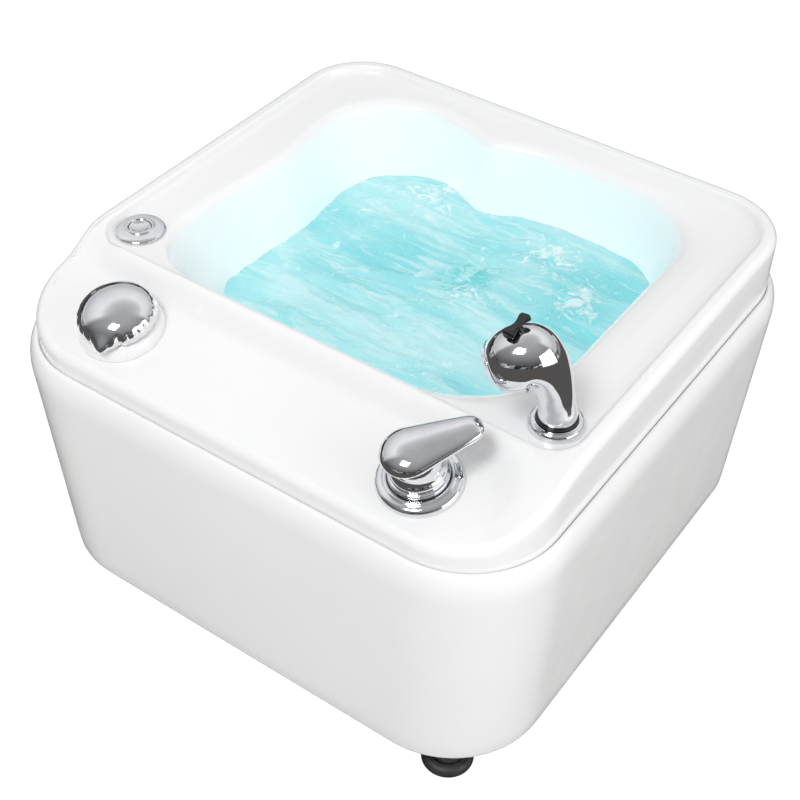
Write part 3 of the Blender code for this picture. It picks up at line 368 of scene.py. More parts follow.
def make_tub():
    hy = HALF_Y - WALL_INSET
    foot = CREASE_Z - SEAT + GAP
    r_front, r_back = WALL_R_FRONT, WALL_R_BACK
    rings = [body_ring(WALL_INSET, z, r_front, r_back) for z in (foot, foot + 0.0006, CREASE_Z + 0.002)]
    for drop in (0.75, 0.5, 0.25):
        rings.append(body_ring(WALL_INSET,
                               lambda x, y: mix(top_height(x, y) - EDGE_FALL, CREASE_Z + 0.002, drop),
                               r_front, r_back))
    for k in range(EDGE_RINGS + 1):
        a = math.radians(90 * k / EDGE_RINGS)
        inset, fall = EDGE_ROUND * (1 - math.cos(a)), EDGE_FALL * (1 - math.sin(a))
        rings.append(body_ring(WALL_INSET + inset, lambda x, y: top_height(x, y) - fall,
                               r_front - inset, r_back - inset))
    lines = ((-hy + 0.0140, 0.0079), (-0.2430, 0.0081), (-0.2300, 0.0084), (-0.2150, 0.0088),
             (-0.2000, 0.0092), (-0.1900, 0.0095), (-0.1840, 0.0098), (CLIMB_START, 0.0100),
             (-0.1750, 0.0103), (-0.1715, 0.0106), (-0.1680, 0.0109), (-0.1645, 0.0112), (-0.1610, 0.0116),
             (-0.1585, 0.0120), (-0.1562, 0.0128))
    rings += [rim_ring(front, inset) for front, inset in lines]
    rings += [rim_ring(-0.1547, 0.0138, drop=0.0007), rim_ring(-0.1534, 0.0148, drop=0.0020),
              rim_ring(-0.1523, 0.0157, drop=0.0040), rim_ring(-0.1514, 0.0166, drop=0.0058),
              rim_ring(-0.1502, 0.0178, level=TRAY_Z + 0.0008),
              rim_ring(-0.1488, 0.0192, level=TRAY_Z + 0.0002),
              rim_ring(-0.1476, 0.0216, level=TRAY_Z)]
    for k in range((len(BASIN_LEVELS) - 1) * LEVEL_STEPS + 1):
        rings.append(basin_ring(*spline(BASIN_LEVELS, k / LEVEL_STEPS)))
    floor = rings[-1]
    hole = drain_ring(0.0246, FLOOR_Z, floor)
    for t in (0.3, 0.6, 0.85):
        rings.append([tuple(mix(p, q, t) for p, q in zip(a, b)) for a, b in zip(floor, hole)])
    rings.append(hole)
    tub = shell("tub_acrylic", rings)
    drill(tub, (MIXER, 0.0165), (KNOB, 0.0150), (SHOWER, 0.0195), (upright(BUTTON, TRAY_Z), 0.0160))
    dress(tub, "white_acrylic", "bath", "tub_shell")


def make_skirt():
    base = SKIRT_LOW.z
    (bottom_f, bottom_b), (wide_f, wide_b) = SKIRT_R
    rings = []
    for inset, rise in ((0.0140, 0.0), (0.0060, 0.0), (0.0022, 0.0003), (0.0006, 0.0016), (0.0, 0.0038)):
        rings.append(body_ring(SKIRT_DRAFT + inset, base + rise, bottom_f - inset, bottom_b - inset))
    for k in range(1, 15):
        t = k / 14
        z = mix(base + 0.0038, SKIRT_WIDE_Z - 0.010, t)
        s = (z - base) / (SKIRT_WIDE_Z - base)
        rings.append(body_ring(SKIRT_DRAFT * (1 - s), z, mix(bottom_f, wide_f, s), mix(bottom_b, wide_b, s)))
    rise, turns = CREASE_Z - SKIRT_WIDE_Z, 12
    for k in range(turns + 1):                         # the rounded shoulder
        a = math.radians(90 * k / turns)
        inset = CREASE_INSET * (1 - math.cos(a))
        rings.append(body_ring(inset, SKIRT_WIDE_Z + rise * math.sin(a), wide_f - inset, wide_b - inset))
    r_front, r_back = WALL_R_FRONT + 0.0006, WALL_R_BACK + 0.0006
    for wide, drop in ((0.0009, 0.0004), (0.0005, 0.0014), (0.0005, SEAT)):
        rings.append(body_ring(WALL_INSET - wide, CREASE_Z - drop, r_front, r_back))
    for narrow in (0.001, 0.0150):                     # the ledge under the tub's wall
        rings.append(body_ring(WALL_INSET + narrow, CREASE_Z - SEAT, WALL_R_FRONT - narrow,
                               WALL_R_BACK - narrow))
    skirt = shell("skirt_acrylic", rings)
    drill(skirt, (facing((DRAIN.x, HALF_Y, TAIL_Z), (0, 1, 0)), 0.0175))
    dress(skirt, "white_acrylic", "bath", "skirt_shell")


# ---------------------------------------------------------------- mixer
LEVER_BACK = -0.0060           # centre of the lever's round back end, along the arm from the swivel axis
LEVER_R = 0.0238
LEVER_TIP_R = 0.0128
LEVER_REACH = 0.0562
LEVER_CAVITY = 0.0220
LEVER_TOPS = ((-0.006, 0.0244), (0.002, 0.0247), (0.010, 0.0248), (0.030, 0.0249), (0.0434, 0.0247))
LEVER_LOW, LEVER_LOW_TIP = 0.0105, 0.0182          # underside above the pivot, at the back and at the tip
LEVER_BAND = 0.0014            # height of the upright edge
LEVER_BOW = 0.0016             # how far the underside rises from its edge to its spine
PIVOT_H = 0.0275               # the lever's pivot above the deck, and the middle of the dome under the lever
MIXER_DOME_R = 0.0205


def lever_low(x):
    """Height of the lever's underside above its pivot."""
    return mix(LEVER_LOW, LEVER_LOW_TIP, ease((x + 0.030) / 0.087))


def along(table, s):
    """Value of a (position, value) table at s, on a smooth curve through its entries."""
    if s <= table[0][0]:
        return table[0][1]
    for i, (a, b) in enumerate(zip(table[:-1], table[1:])):
        if s <= b[0]:
            t = (s - a[0]) / (b[0] - a[0])
            return spline([(entry[1],) for entry in table], i + t)[0]
    return table[-1][1]


def lever_outline(steps_back=56, steps_side=26, steps_tip=24):
    """Points round the lever with the spine point each one faces."""
    back, centre = LEVER_BACK, LEVER_REACH - LEVER_TIP_R
    lean = math.asin((LEVER_R - LEVER_TIP_R) / (centre - back))
    half = math.pi / 2 - lean
    across, ahead = math.sin(half), math.cos(half)
    pairs = []
    for k in range(steps_tip):
        a = mix(-half, half, k / steps_tip)
        pairs.append((centre + LEVER_TIP_R * math.cos(a), LEVER_TIP_R * math.sin(a), centre))
    for k in range(steps_side):
        t = k / steps_side
        s, r = mix(centre, back, t), mix(LEVER_TIP_R, LEVER_R, t)
        pairs.append((s + r * ahead, r * across, s))
    for k in range(steps_back):
        a = mix(half, 2 * math.pi - half, k / steps_back)
        pairs.append((back + LEVER_R * math.cos(a), LEVER_R * math.sin(a), back))
    for k in range(steps_side):
        t = k / steps_side
        s, r = mix(back, centre, t), mix(LEVER_R, LEVER_TIP_R, t)
        pairs.append((s + r * ahead, -r * across, s))
    return pairs


def make_lever():
    """A dome that tapers into an arm, hollow underneath where it caps the mixer's body."""
    outline = lever_outline()
    points, turns, under = [], 22, 24
    for k in range(turns + 1):                         # over the top, from the spine to the edge
        a = math.radians(90 * k / turns)
        for x, y, s in outline:
            edge, top = lever_low(x) + LEVER_BAND, along(LEVER_TOPS, s)
            points.append((s + (x - s) * math.sin(a), y * math.sin(a), edge + (top - edge) * math.cos(a)))
    for inward, drop in ((0.0, 0.0012), (0.00015, 0.0016), (0.0005, LEVER_BAND)):
        for x, y, s in outline:
            d = Vector((x - s, y)).normalized() * inward
            points.append((x - d.x, y - d.y, lever_low(x) + LEVER_BAND - drop))
    for k in range(1, under + 1):                      # back along the underside to the spine
        t = 1 - k / under
        for x, y, s in outline:
            px, py = s + (x - s) * t * 0.98, y * t * 0.98
            z = lever_low(px) + LEVER_BOW * (1 - t ** 4)
            room = LEVER_CAVITY ** 2 - px * px - py * py
            if room > 0:
                z = max(z, math.sqrt(room))
            points.append((px, py, z))
    faces = grid_faces(turns + 1 + 3 + under, len(outline))
    place = Matrix.Translation(TAP_LIFT) @ tap_turn()
    lever = mesh_object("lever_chrome", points, faces, place, angle=50, weld=0.00001)
    dress(lever, "chrome", "mixer_lever", "mixer_lever")


def tap_turn():
    """Rotation whose X runs along the lever and Z along the swivel axis."""
    z = Vector(JOINTS["mixer_swivel"]["axis"]).normalized()
    return Matrix((TAP_ARM, z.cross(TAP_ARM), z)).transposed().to_4x4()


def make_mixer():
    ring = [(0.0262, GAP), (0.0262, 0.0080, 0.0006), (0.0276, 0.0089, 0.0008), (0.0290, 0.0086, 0.0010),
            (0.0306, 0.0076, 0.0012), (0.0336, 0.0070, 0.0020), (0.0358, 0.0054, 0.0014),
            (0.0366, 0.0026, 0.0012), (0.0366, GAP, 0.0002), (0.0262, GAP)]
    dress(spin("mixer_flange", ring, MIXER, 120, steps=5), "chrome", "bath", "mixer_escutcheon")
    profile = [(0.0075, 0.0330)]
    for k in range(15):
        a = math.radians(68 - 68 * k / 14)
        profile.append((MIXER_DOME_R * math.cos(a), PIVOT_H + MIXER_DOME_R * math.sin(a)))
    profile += [(0.0206, 0.0235, 0.0010), (0.0216, 0.0208, 0.0015), (0.0232, 0.0186, 0.0012),
                (0.0237, 0.0166, 0.0010), (0.0236, 0.0142, 0.0004), (0.0230, 0.0136, 0.0003),
                (0.0230, 0.0129, 0.0003), (0.0252, 0.0122, 0.0006), (0.0256, 0.0106, 0.0006),
                (0.0256, 0.0080, 0.0006), (0.0249, 0.0074, 0.0003), (0.0249, 0.0066, 0.0003),
                (0.0256, 0.0060, 0.0004), (0.0256, GAP, 0.0002), (0.0158, GAP), (0.0158, -0.0480),
                (0.0146, -0.0500), (0.0075, -0.0500), (0.0075, 0.0330)]
    dress(spin("mixer_column", profile, MIXER), "chrome", "mixer_stem", "mixer_body")
    make_lever()


# ---------------------------------------------------------------- drain knob
KNOB_R = 0.0362
KNOB_SCALLOPS = 24
SCALLOP_DEPTH = 0.0009
POINTER_ANGLE = math.radians(290)
POINTER_REACH, POINTER_SPREAD = 0.0068, 0.20        # how far the lobe stands out; its half width in radians
NOTCH_AT, NOTCH_DEPTH, NOTCH_SPREAD = 0.42, 0.0018, 0.075   # beside the lobe, in radians from it
DOME_Z, DOME_RISE = 0.0200, 0.0198


def knob_outline(r, z, a):
    """Scalloped rim that fades into the smooth dome, with one lobe as the pointer and a notch beside it."""
    rim = ease((r - 0.0300) / 0.0055) * ease((0.0325 - z) / 0.0100)
    wave = abs(math.sin(KNOB_SCALLOPS * a / 2)) ** 0.8
    turn = a - POINTER_ANGLE
    lobe = math.exp(-(turn / POINTER_SPREAD) ** 2) * ease((r - 0.0215) / 0.0145)
    notch = math.exp(-((turn - NOTCH_AT) / NOTCH_SPREAD) ** 2)
    r -= rim * (SCALLOP_DEPTH * (1 - wave) * (1 - lobe) + NOTCH_DEPTH * notch)
    return r + POINTER_REACH * lobe * ease((0.0305 - z) / 0.0115)


def make_knob():
    profile = [(0.0, DOME_Z + DOME_RISE)]
    for k in range(1, 31):                             # the dome, an ellipse in section
        a = math.radians(84 * k / 30)
        profile.append((KNOB_R * math.sin(a), DOME_Z + DOME_RISE * math.cos(a)))
    profile += [(KNOB_R, 0.0194, 0.0010), (0.0359, 0.0168, 0.0008), (0.0342, 0.0153, 0.0008),
                (0.0310, 0.0152, 0.0006), (0.0292, 0.0170, 0.0006), (0.0150, 0.0175, 0.0006),
                (0.0058, 0.0165, 0.0004), (0.0058, -0.0450, 0.0004), (0.0, -0.0450)]
    knob = spin("knob_chrome", profile, KNOB, 288, radius=0.0004, angle=60, shape=knob_outline)
    dress(knob, "chrome", "drain_knob", "drain_knob")
    collar = [(0.0062, 0.0140), (0.0300, 0.0140, 0.0010), (0.0334, 0.0131, 0.0020), (0.0367, 0.0100, 0.0020),
              (0.0384, 0.0055, 0.0020), (0.0389, 0.0022, 0.0008), (0.0389, GAP, 0.0002), (0.0146, GAP),
              (0.0146, -0.0380), (0.0136, -0.0390), (0.0062, -0.0390), (0.0062, 0.0140)]
    dress(spin("knob_collar_white", collar, KNOB, 144, steps=5), "white_acrylic", "bath", "drain_knob_collar")


# ---------------------------------------------------------------- hand shower
HANDSET = (                    # along the head, height above the tray, radius
    (0.0, 0.0097, 0.0163), (0.0, 0.0135, 0.0163), (0.0014, 0.0232, 0.0155), (0.0047, 0.0378, 0.0163),
    (0.0104, 0.0520, 0.0194), (0.0176, 0.0630, 0.0236), (0.0252, 0.0689, 0.0270), (0.0331, 0.0675, 0.0277),
    (0.0410, 0.0640, 0.0267), (0.0473, 0.0602, 0.0244), (0.0521, 0.0575, 0.0214), (0.0548, 0.0557, 0.0184))
HEAD_TURN = math.radians(210)
HEAD_AXIS = Vector((0.917, 0.0, -0.399))
SELECTOR_U, SELECTOR_Z = 0.0385, 0.0992
SELECTOR_TURN = math.radians(41)
HOSE_END_Z = 0.0850
HOSE_PITCH = 0.0022
NECK_SIDES = 96
ELBOW_AT = 4.6                 # where the neck bends, counted in rows of HANDSET
ELBOW_SQUEEZE = 0.30           # how much its inner side is flattened there
NECK_STEPS = 7                 # rings between two rows of HANDSET


def ring_about(centre, along_axis, radius, under=1.0):
    """Circle whose plane is square to a direction in the XZ plane; its lower half can be flattened."""
    across = Vector((0, 1, 0))
    up = across.cross(Vector(along_axis).normalized())
    low = -1 if up.z < 0 or (abs(up.z) < 0.01 and up.x > 0) else 1
    ring = []
    for k in range(NECK_SIDES):
        a = 2 * math.pi * k / NECK_SIDES
        lift = math.sin(a) * (under if math.sin(a) * low < 0 else 1.0)
        ring.append(centre + (across * math.cos(a) + up * lift) * radius)
    return ring


def make_handset(head):
    rings = []
    for radius, z in ((0.0001, -0.0120), (0.0096, -0.0120), (0.0100, -0.0116), (0.0100, 0.0093),
                      (0.0157, 0.0093), (0.0162, 0.0095)):
        rings.append(ring_about(Vector((HANDSET[0][0], 0, z)), (0, 0, 1), radius))
    path = [spline(HANDSET, k / NECK_STEPS) for k in range((len(HANDSET) - 1) * NECK_STEPS + 1)]
    groove = len(path) - 9                             # the joint line behind the spray outlet
    for k, (u, z, r) in enumerate(path):
        reach = max(min(k, len(path) - 1 - k, 6), 1)   # the elbow's bend is spread over several rings
        a, b = path[max(k - reach, 0)], path[min(k + reach, len(path) - 1)]
        at, t = Vector((u, 0, z)), Vector((b[0] - a[0], 0, b[1] - a[1])).normalized()
        if k == groove:
            for shift, sink in ((-0.00045, 0.0), (-0.00025, 0.00045), (0.00025, 0.00045), (0.00045, 0.0)):
                rings.append(ring_about(at + t * shift, t, r - sink))
        else:
            squeeze = 1 - ELBOW_SQUEEZE * math.exp(-((k / NECK_STEPS - ELBOW_AT) / 0.8) ** 2)
            rings.append(ring_about(at, t, r, under=squeeze))
    tip = Vector((HANDSET[-1][0], 0, HANDSET[-1][1]))
    for radius, out in ((0.0168, 0.0004), (0.0160, 0.0007), (0.0150, 0.0007), (0.0144, 0.0004),
                        (0.0142, -0.0002), (0.0142, -0.0045), (0.0001, -0.0045)):
        rings.append(ring_about(tip + HEAD_AXIS * out, HEAD_AXIS, radius))
    points = [p for ring in rings for p in ring]
    handset = mesh_object("handset_chrome", points, grid_faces(len(rings), NECK_SIDES), head, angle=48,
                          weld=0.000002)
    dress(handset, "chrome", "hand_shower", "shower_handset")


def make_nozzle(head):
    """Spray plate with rings of small nubs."""
    place = head @ facing((HANDSET[-1][0], 0, HANDSET[-1][1]), HEAD_AXIS)
    profile = [(0.0, 0.0001), (0.0088, 0.0001, 0.0004), (0.0098, 0.0007, 0.0004), (0.0128, 0.0006, 0.0006),
               (0.0139, -0.0004, 0.0004), (0.0139, -0.0042, 0.0002), (0.0, -0.0042)]
    plate = spin("spray_plate", profile, place, 72)
    nubs = []
    for count, radius in ((1, 0.0), (6, 0.0030), (12, 0.0062), (18, 0.0114)):
        for k in range(count):
            a = 2 * math.pi * (k + 0.5) / count
            at = place @ Matrix.Translation((radius * math.cos(a), radius * math.sin(a), 0.0008))
            nubs.append((at, 0.0008, 0.0005, 0.0020, 10))
    add_cones(plate.data, nubs)
    smooth(plate.data, 40)
    dress(plate, "grey_plastic", "hand_shower", "shower_nozzle")


SELECTOR_SHAPE = (             # across, half depth, underside, top
    (-0.0124, 0.0012, -0.0010, 0.0008), (-0.0121, 0.0030, -0.0018, 0.0024),
    (-0.0112, 0.0045, -0.0021, 0.0038), (-0.0098, 0.0052, -0.0020, 0.0044),
    (-0.0078, 0.0050, -0.0016, 0.0043), (-0.0052, 0.0042, -0.0010, 0.0036),
    (-0.0026, 0.0036, -0.0008, 0.0030), (0.0, 0.0035, -0.0008, 0.0028), (0.0026, 0.0038, -0.0008, 0.0031),
    (0.0054, 0.0047, -0.0010, 0.0039), (0.0082, 0.0056, -0.0016, 0.0046), (0.0104, 0.0060, -0.0021, 0.0049),
    (0.0121, 0.0053, -0.0023, 0.0043), (0.0131, 0.0036, -0.0020, 0.0028), (0.0134, 0.0014, -0.0012, 0.0010))


def make_selector(head):
    """Black thumb piece twisted across the head, with a raised paddle at each end."""
    turn = Matrix.Rotation(-SELECTOR_TURN, 4, "Y")
    place = head @ facing((SELECTOR_U, 0, SELECTOR_Z), HEAD_AXIS)
    sides, steps, points = 40, 4, []
    count = (len(SELECTOR_SHAPE) - 1) * steps + 1
    for k in range(count):
        t, half, low, high = spline(SELECTOR_SHAPE, k / steps)
        for i in range(sides):
            a = 2 * math.pi * i / sides
            c, s = math.cos(a), math.sin(a)
            depth = half * math.copysign(abs(c) ** 0.55, c)
            z = mix(low, high, 0.5 + 0.5 * math.copysign(abs(s) ** 0.55, s))
            points.append(turn @ Vector((t, z, depth)))
    faces = grid_faces(count, sides)
    faces += [tuple(range(sides)), tuple(range((count - 1) * sides, count * sides))]
    wings = mesh_object("thumb_piece_black", points, faces, place, angle=60)
    stalk = place @ Matrix.Translation((0, -0.0028, 0)) @ Matrix.Rotation(-math.pi / 2, 4, "X")
    add_cones(wings.data, [(stalk, 0.0040, 0.0034, 0.0046, 28)])
    dress(wings, "black_plastic", "spray_selector", "spray_selector")


def make_hose():
    """Wound steel hose, straight from its fixed lower end up to under the shower holder."""
    x, y, top = SHOWER.translation.x, SHOWER.translation.y, TRAY_Z - 0.0124
    turns = []
    count = int((top - HOSE_END_Z) / HOSE_PITCH)
    step = (top - HOSE_END_Z) / count
    for k in range(count):
        z = HOSE_END_Z + k * step
        for part, radius in ((0.0, 0.0056), (0.14, 0.0061), (0.36, 0.0065), (0.64, 0.0065), (0.86, 0.0061)):
            turns.append((z + part * step, radius))
    turns = [(HOSE_END_Z, 0.0001)] + turns + [(top, 0.0056), (top, 0.0001)]
    sides, points = 32, []
    for z, radius in turns:
        for i in range(sides):
            a = 2 * math.pi * i / sides
            points.append((x + radius * math.cos(a), y + radius * math.sin(a), z))
    hose = mesh_object("hose_steel", points, grid_faces(len(turns), sides), angle=70)
    hose.data.materials.append(STEEL_HOSE)
    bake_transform(hose)
    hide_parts("shower_hose")


def make_shower():
    holder = [(0.0152, 0.0062), (0.0186, 0.0070, 0.0004), (0.0196, 0.0066, 0.0004),
              (0.0204, 0.0068, 0.0006), (0.0222, 0.0058, 0.0012), (0.0236, 0.0036, 0.0012),
              (0.0240, 0.0016, 0.0006), (0.0240, GAP, 0.0002), (0.0190, GAP), (0.0190, -0.0300),
              (0.0152, -0.0300), (0.0152, 0.0062)]
    dress(spin("holder_chrome", holder, SHOWER, 120, steps=5), "chrome", "bath", "shower_holder")
    bush = [(0.0104, 0.0080), (0.0110, 0.0092, 0.0003), (0.0176, 0.0092, 0.0006), (0.0180, 0.0074, 0.0003),
            (0.0149, 0.0072), (0.0149, -0.0280), (0.0104, -0.0280), (0.0104, 0.0080)]
    dress(spin("bush_black", bush, SHOWER, 72), "black_plastic", "shower_bush", "shower_bush")
    head = SHOWER @ Matrix.Rotation(HEAD_TURN, 4, "Z")
    make_handset(head)
    make_nozzle(head)
    make_selector(head)
    make_hose()


# ---------------------------------------------------------------- air button, drain, jets, feet
def make_button():
    place = upright(BUTTON, TRAY_Z + 0.0010)
    flange = [(0.0108, 0.0032), (0.0112, 0.0041, 0.0003), (0.0121, 0.0045, 0.0004),
              (0.0130, 0.0042, 0.0004), (0.0137, 0.0034, 0.0005), (0.0150, 0.0030, 0.0010),
              (0.0196, 0.0028, 0.0015), (0.0226, 0.0020, 0.0012), (0.0239, 0.0008, 0.0004),
              (0.0240, GAP, 0.0001), (0.0155, GAP), (0.0155, -0.0330), (0.0108, -0.0330), (0.0108, 0.0032)]
    dress(spin("button_flange_chrome", flange, place, 120, steps=5), "chrome", "bath", "air_button_flange")
    button = [(0.0, 0.0018), (0.0035, 0.0019, 0.001), (0.0068, 0.0024, 0.001), (0.0092, 0.0034, 0.0006),
              (0.0103, 0.0032, 0.0004), (0.0104, 0.0010, 0.0002), (0.0104, -0.0050, 0.0004),
              (0.0050, -0.0050), (0.0050, -0.0200), (0.0, -0.0200)]
    dress(spin("button_chrome", button, place, 84), "chrome", "air_button", "air_button")


def make_drain():
    place = upright(DRAIN, FLOOR_Z)
    ring = [(0.0180, -0.0010), (0.0236, 0.0020, 0.0006), (0.0258, 0.0024, 0.0006), (0.0298, 0.0021, 0.0008),
            (0.0310, 0.0010, 0.0006), (0.0310, GAP, 0.0002), (0.0235, GAP), (0.0235, -0.0400),
            (0.0180, -0.0400), (0.0180, -0.0010)]
    dress(spin("drain_flange_chrome", ring, place), "chrome", "bath", "drain_body")
    plug = [(0.0, 0.0064), (0.0080, 0.0063, 0.002), (0.0150, 0.0058, 0.003), (0.0200, 0.0044, 0.0015),
            (0.0212, 0.0031, 0.0006), (0.0205, 0.0022, 0.0004), (0.0168, 0.0006, 0.0004),
            (0.0168, -0.0030, 0.0004), (0.0030, -0.0040, 0.0004), (0.0030, -0.0330), (0.0, -0.0330)]
    dress(spin("plug_chrome", plug, place), "chrome", "popup_plug", "popup_plug")


def make_feet():
    pad = [(0.0, 0.0040), (0.0145, 0.0040, 0.0003), (0.0148, 0.0080, 0.0008), (0.0160, 0.0090, 0.0008),
           (0.0196, 0.0088, 0.0016), (0.0230, 0.0068, 0.0020), (0.0243, 0.0036, 0.0012),
           (0.0245, 0.0014, 0.0008), (0.0236, 0.0, 0.0006), (0.0, 0.0)]
    stem = [(0.0, 0.0560), (0.0042, 0.0560, 0.0003), (0.0050, 0.0552, 0.0003)]
    for k in range(28):                                # thread up to the frame
        z = 0.0550 - k * 0.0010
        stem += [(0.0050, z, 0.0001), (0.0046, z - 0.0005, 0.0001)]
    stem += [(0.0050, 0.0262, 0.0002), (0.0054, 0.0250, 0.0006), (0.0110, 0.0247, 0.0010),
             (0.0134, 0.0236, 0.0012), (0.0142, 0.0214, 0.0012), (0.0142, 0.0043, 0.0003), (0.0, 0.0043)]
    for corner in ("front_right", "front_left", "back_right", "back_left"):
        place = upright(middle(f"foot_{corner}_pad"), 0)
        for part, profile, slot, sides in (("pad", pad, "black_rubber", 72),
                                           ("stem", stem, "satin_steel", 48)):
            node = f"foot_{corner}_{part}"
            body = next(name for name, nodes in BODIES.items() if node in nodes)
            dress(spin(f"{part}_{corner}", profile, place, sides), slot, body, node)


# ---------------------------------------------------------------- materials
class Nodes:
    """Short way to build the node tree of a material or a world."""

    def __init__(self, owner):
        owner.use_nodes = True
        self.owner = owner
        self.tree = owner.node_tree

    def add(self, kind, **values):
        node = self.tree.nodes.new(kind)
        for key, value in values.items():
            setattr(node, key, value)
        return node

    def link(self, source, target):
        self.tree.links.new(source, target)

    def feed(self, target, value):
        if isinstance(value, bpy.types.NodeSocket):
            self.link(value, target)
        else:
            target.default_value = value

    def math(self, operation, a, b=0.0):
        node = self.add("ShaderNodeMath", operation=operation)
        self.feed(node.inputs[0], a)
        self.feed(node.inputs[1], b)
        return node.outputs[0]

    def span(self, value, low, high, to_low=0.0, to_high=1.0, smooth=False):
        node = self.add("ShaderNodeMapRange", clamp=True)
        node.interpolation_type = "SMOOTHSTEP" if smooth else "LINEAR"
        self.feed(node.inputs["Value"], value)
        for key, number in (("From Min", low), ("From Max", high), ("To Min", to_low), ("To Max", to_high)):
            node.inputs[key].default_value = number
        return node.outputs["Result"]

    def blend(self, amount, a, b):
        node = self.add("ShaderNodeMix", data_type="RGBA")
        self.feed(node.inputs["Factor"], amount)
        for socket, value in ((node.inputs[6], a), (node.inputs[7], b)):
            self.feed(socket, value if isinstance(value, bpy.types.NodeSocket) else (*value, 1.0))
        return node.outputs[2]

    def light(self, kind, colour, strength):
        """Emission or background of one colour."""
        node = self.add(kind)
        self.feed(node.inputs["Color"], colour)
        node.inputs["Strength"].default_value = strength
        return node.outputs[0]

    def either(self, ray, a, b):
        """Shader b for one kind of ray and shader a for all others."""
        node = self.add("ShaderNodeMixShader")
        for socket, source in zip(node.inputs, (self.add("ShaderNodeLightPath").outputs[ray], a, b)):
            self.link(source, socket)
        return node.outputs[0]


class Looks(Nodes):
    """A material's nodes round its Principled BSDF, placed by the piece's own coordinates."""

    def __init__(self, name):
        super().__init__(bpy.data.materials.new(name))
        self.bsdf = self.tree.nodes["Principled BSDF"]
        self.place = self.add("ShaderNodeTexCoord").outputs["Object"]

    def noise(self, scale, detail=3.0, rough=0.5, stretch=(1, 1, 1), turn=0.0, distortion=0.0):
        mapping = self.add("ShaderNodeMapping")
        mapping.inputs["Scale"].default_value = stretch
        mapping.inputs["Rotation"].default_value = (0, 0, turn)
        self.link(self.place, mapping.inputs["Vector"])
        node = self.add("ShaderNodeTexNoise")
        for key, value in (("Scale", scale), ("Detail", detail), ("Roughness", rough),
                           ("Distortion", distortion)):
            node.inputs[key].default_value = value
        self.link(mapping.outputs[0], node.inputs["Vector"])
        return node.outputs["Fac"]

    def bump(self, height, distance, under=None):
        node = self.add("ShaderNodeBump")
        node.inputs["Distance"].default_value = distance
        node.inputs["Strength"].default_value = 1.0
        self.link(height, node.inputs["Height"])
        if under is not None:
            self.link(under, node.inputs["Normal"])
        return node.outputs["Normal"]

    def surface(self, colour=None, roughness=None, normal=None, **numbers):
        for key, value in (("Base Color", colour), ("Roughness", roughness), ("Normal", normal)):
            if value is not None:
                self.feed(self.bsdf.inputs[key], value)
        for key, value in numbers.items():
            self.bsdf.inputs[key.replace("_", " ")].default_value = value
        return self.owner


def acrylic():
    n = Looks("acrylic_gloss_white")
    cloud = n.span(n.noise(7.0, 3.0), 0.35, 0.65)
    colour = n.blend(cloud, (0.905, 0.908, 0.912), (0.925, 0.924, 0.920))
    speck = n.span(n.noise(900.0, 1.0), 0.70, 0.78)
    colour = n.blend(n.math("MULTIPLY", speck, 0.10), colour, (0.70, 0.70, 0.69))
    rough = n.span(n.noise(22.0, 4.0, 0.6), 0.30, 0.70, 0.14, 0.24)
    scratch = n.noise(60.0, 2.0, 0.5, stretch=(1, 14, 14), turn=0.5)
    rough = n.math("ADD", rough, n.span(scratch, 0.66, 0.72, 0.0, 0.05))
    peel = n.bump(n.noise(140.0, 2.0), 0.00003)
    return n.surface(colour, rough, n.bump(scratch, 0.000008, under=peel), IOR=1.49, Coat_Weight=0.25,
                     Coat_Roughness=0.06)


def chrome_plate():
    n = Looks("chrome_plate")
    haze = n.noise(55.0, 4.0, 0.6)
    colour = n.blend(n.span(haze, 0.35, 0.70), (0.83, 0.84, 0.86), (0.76, 0.77, 0.80))
    film = n.span(n.noise(160.0, 3.0, 0.6), 0.45, 0.75, 0.0, 0.05)
    rough = n.math("ADD", n.span(haze, 0.3, 0.7, 0.025, 0.075), film)
    wipe = n.noise(260.0, 2.0, 0.5, stretch=(1, 9, 1), turn=0.7)
    normal = n.bump(wipe, 0.0000025, under=n.bump(n.noise(75.0, 1.5), 0.00002))
    return n.surface(colour, rough, normal, Metallic=1.0)


def brushed(name, colour, worn, rough, stretch=(1, 1, 10)):
    """Metal with a drawn grain, dull patches and darker stains."""
    n = Looks(name)
    grain = n.noise(180.0, 3.0, 0.55, stretch=stretch)
    patch = n.noise(26.0, 4.0, 0.6)
    tone = n.blend(n.span(patch, 0.42, 0.72), colour, worn)
    tone = n.blend(n.span(grain, 0.3, 0.7, 0.0, 0.25), tone, worn)
    roughness = n.math("ADD", n.span(patch, 0.3, 0.7, *rough), n.span(grain, 0.3, 0.7, -0.04, 0.06))
    return n.surface(tone, roughness, n.bump(grain, 0.00003), Metallic=1.0)


def moulded(name, colour, dusty, rough, dust=0.25):
    """Plastic or rubber with a fine grain, some dust and rubbed spots."""
    n = Looks(name)
    patch = n.noise(38.0, 4.0, 0.6)
    speck = n.noise(420.0, 3.0, 0.6)
    tone = n.blend(n.span(patch, 0.40, 0.75, 0.0, dust), colour, dusty)
    tone = n.blend(n.span(speck, 0.60, 0.75, 0.0, dust), tone, dusty)
    roughness = n.span(patch, 0.3, 0.7, rough[1], rough[0])
    return n.surface(tone, roughness, n.bump(n.noise(900.0, 2.0), 0.00003))


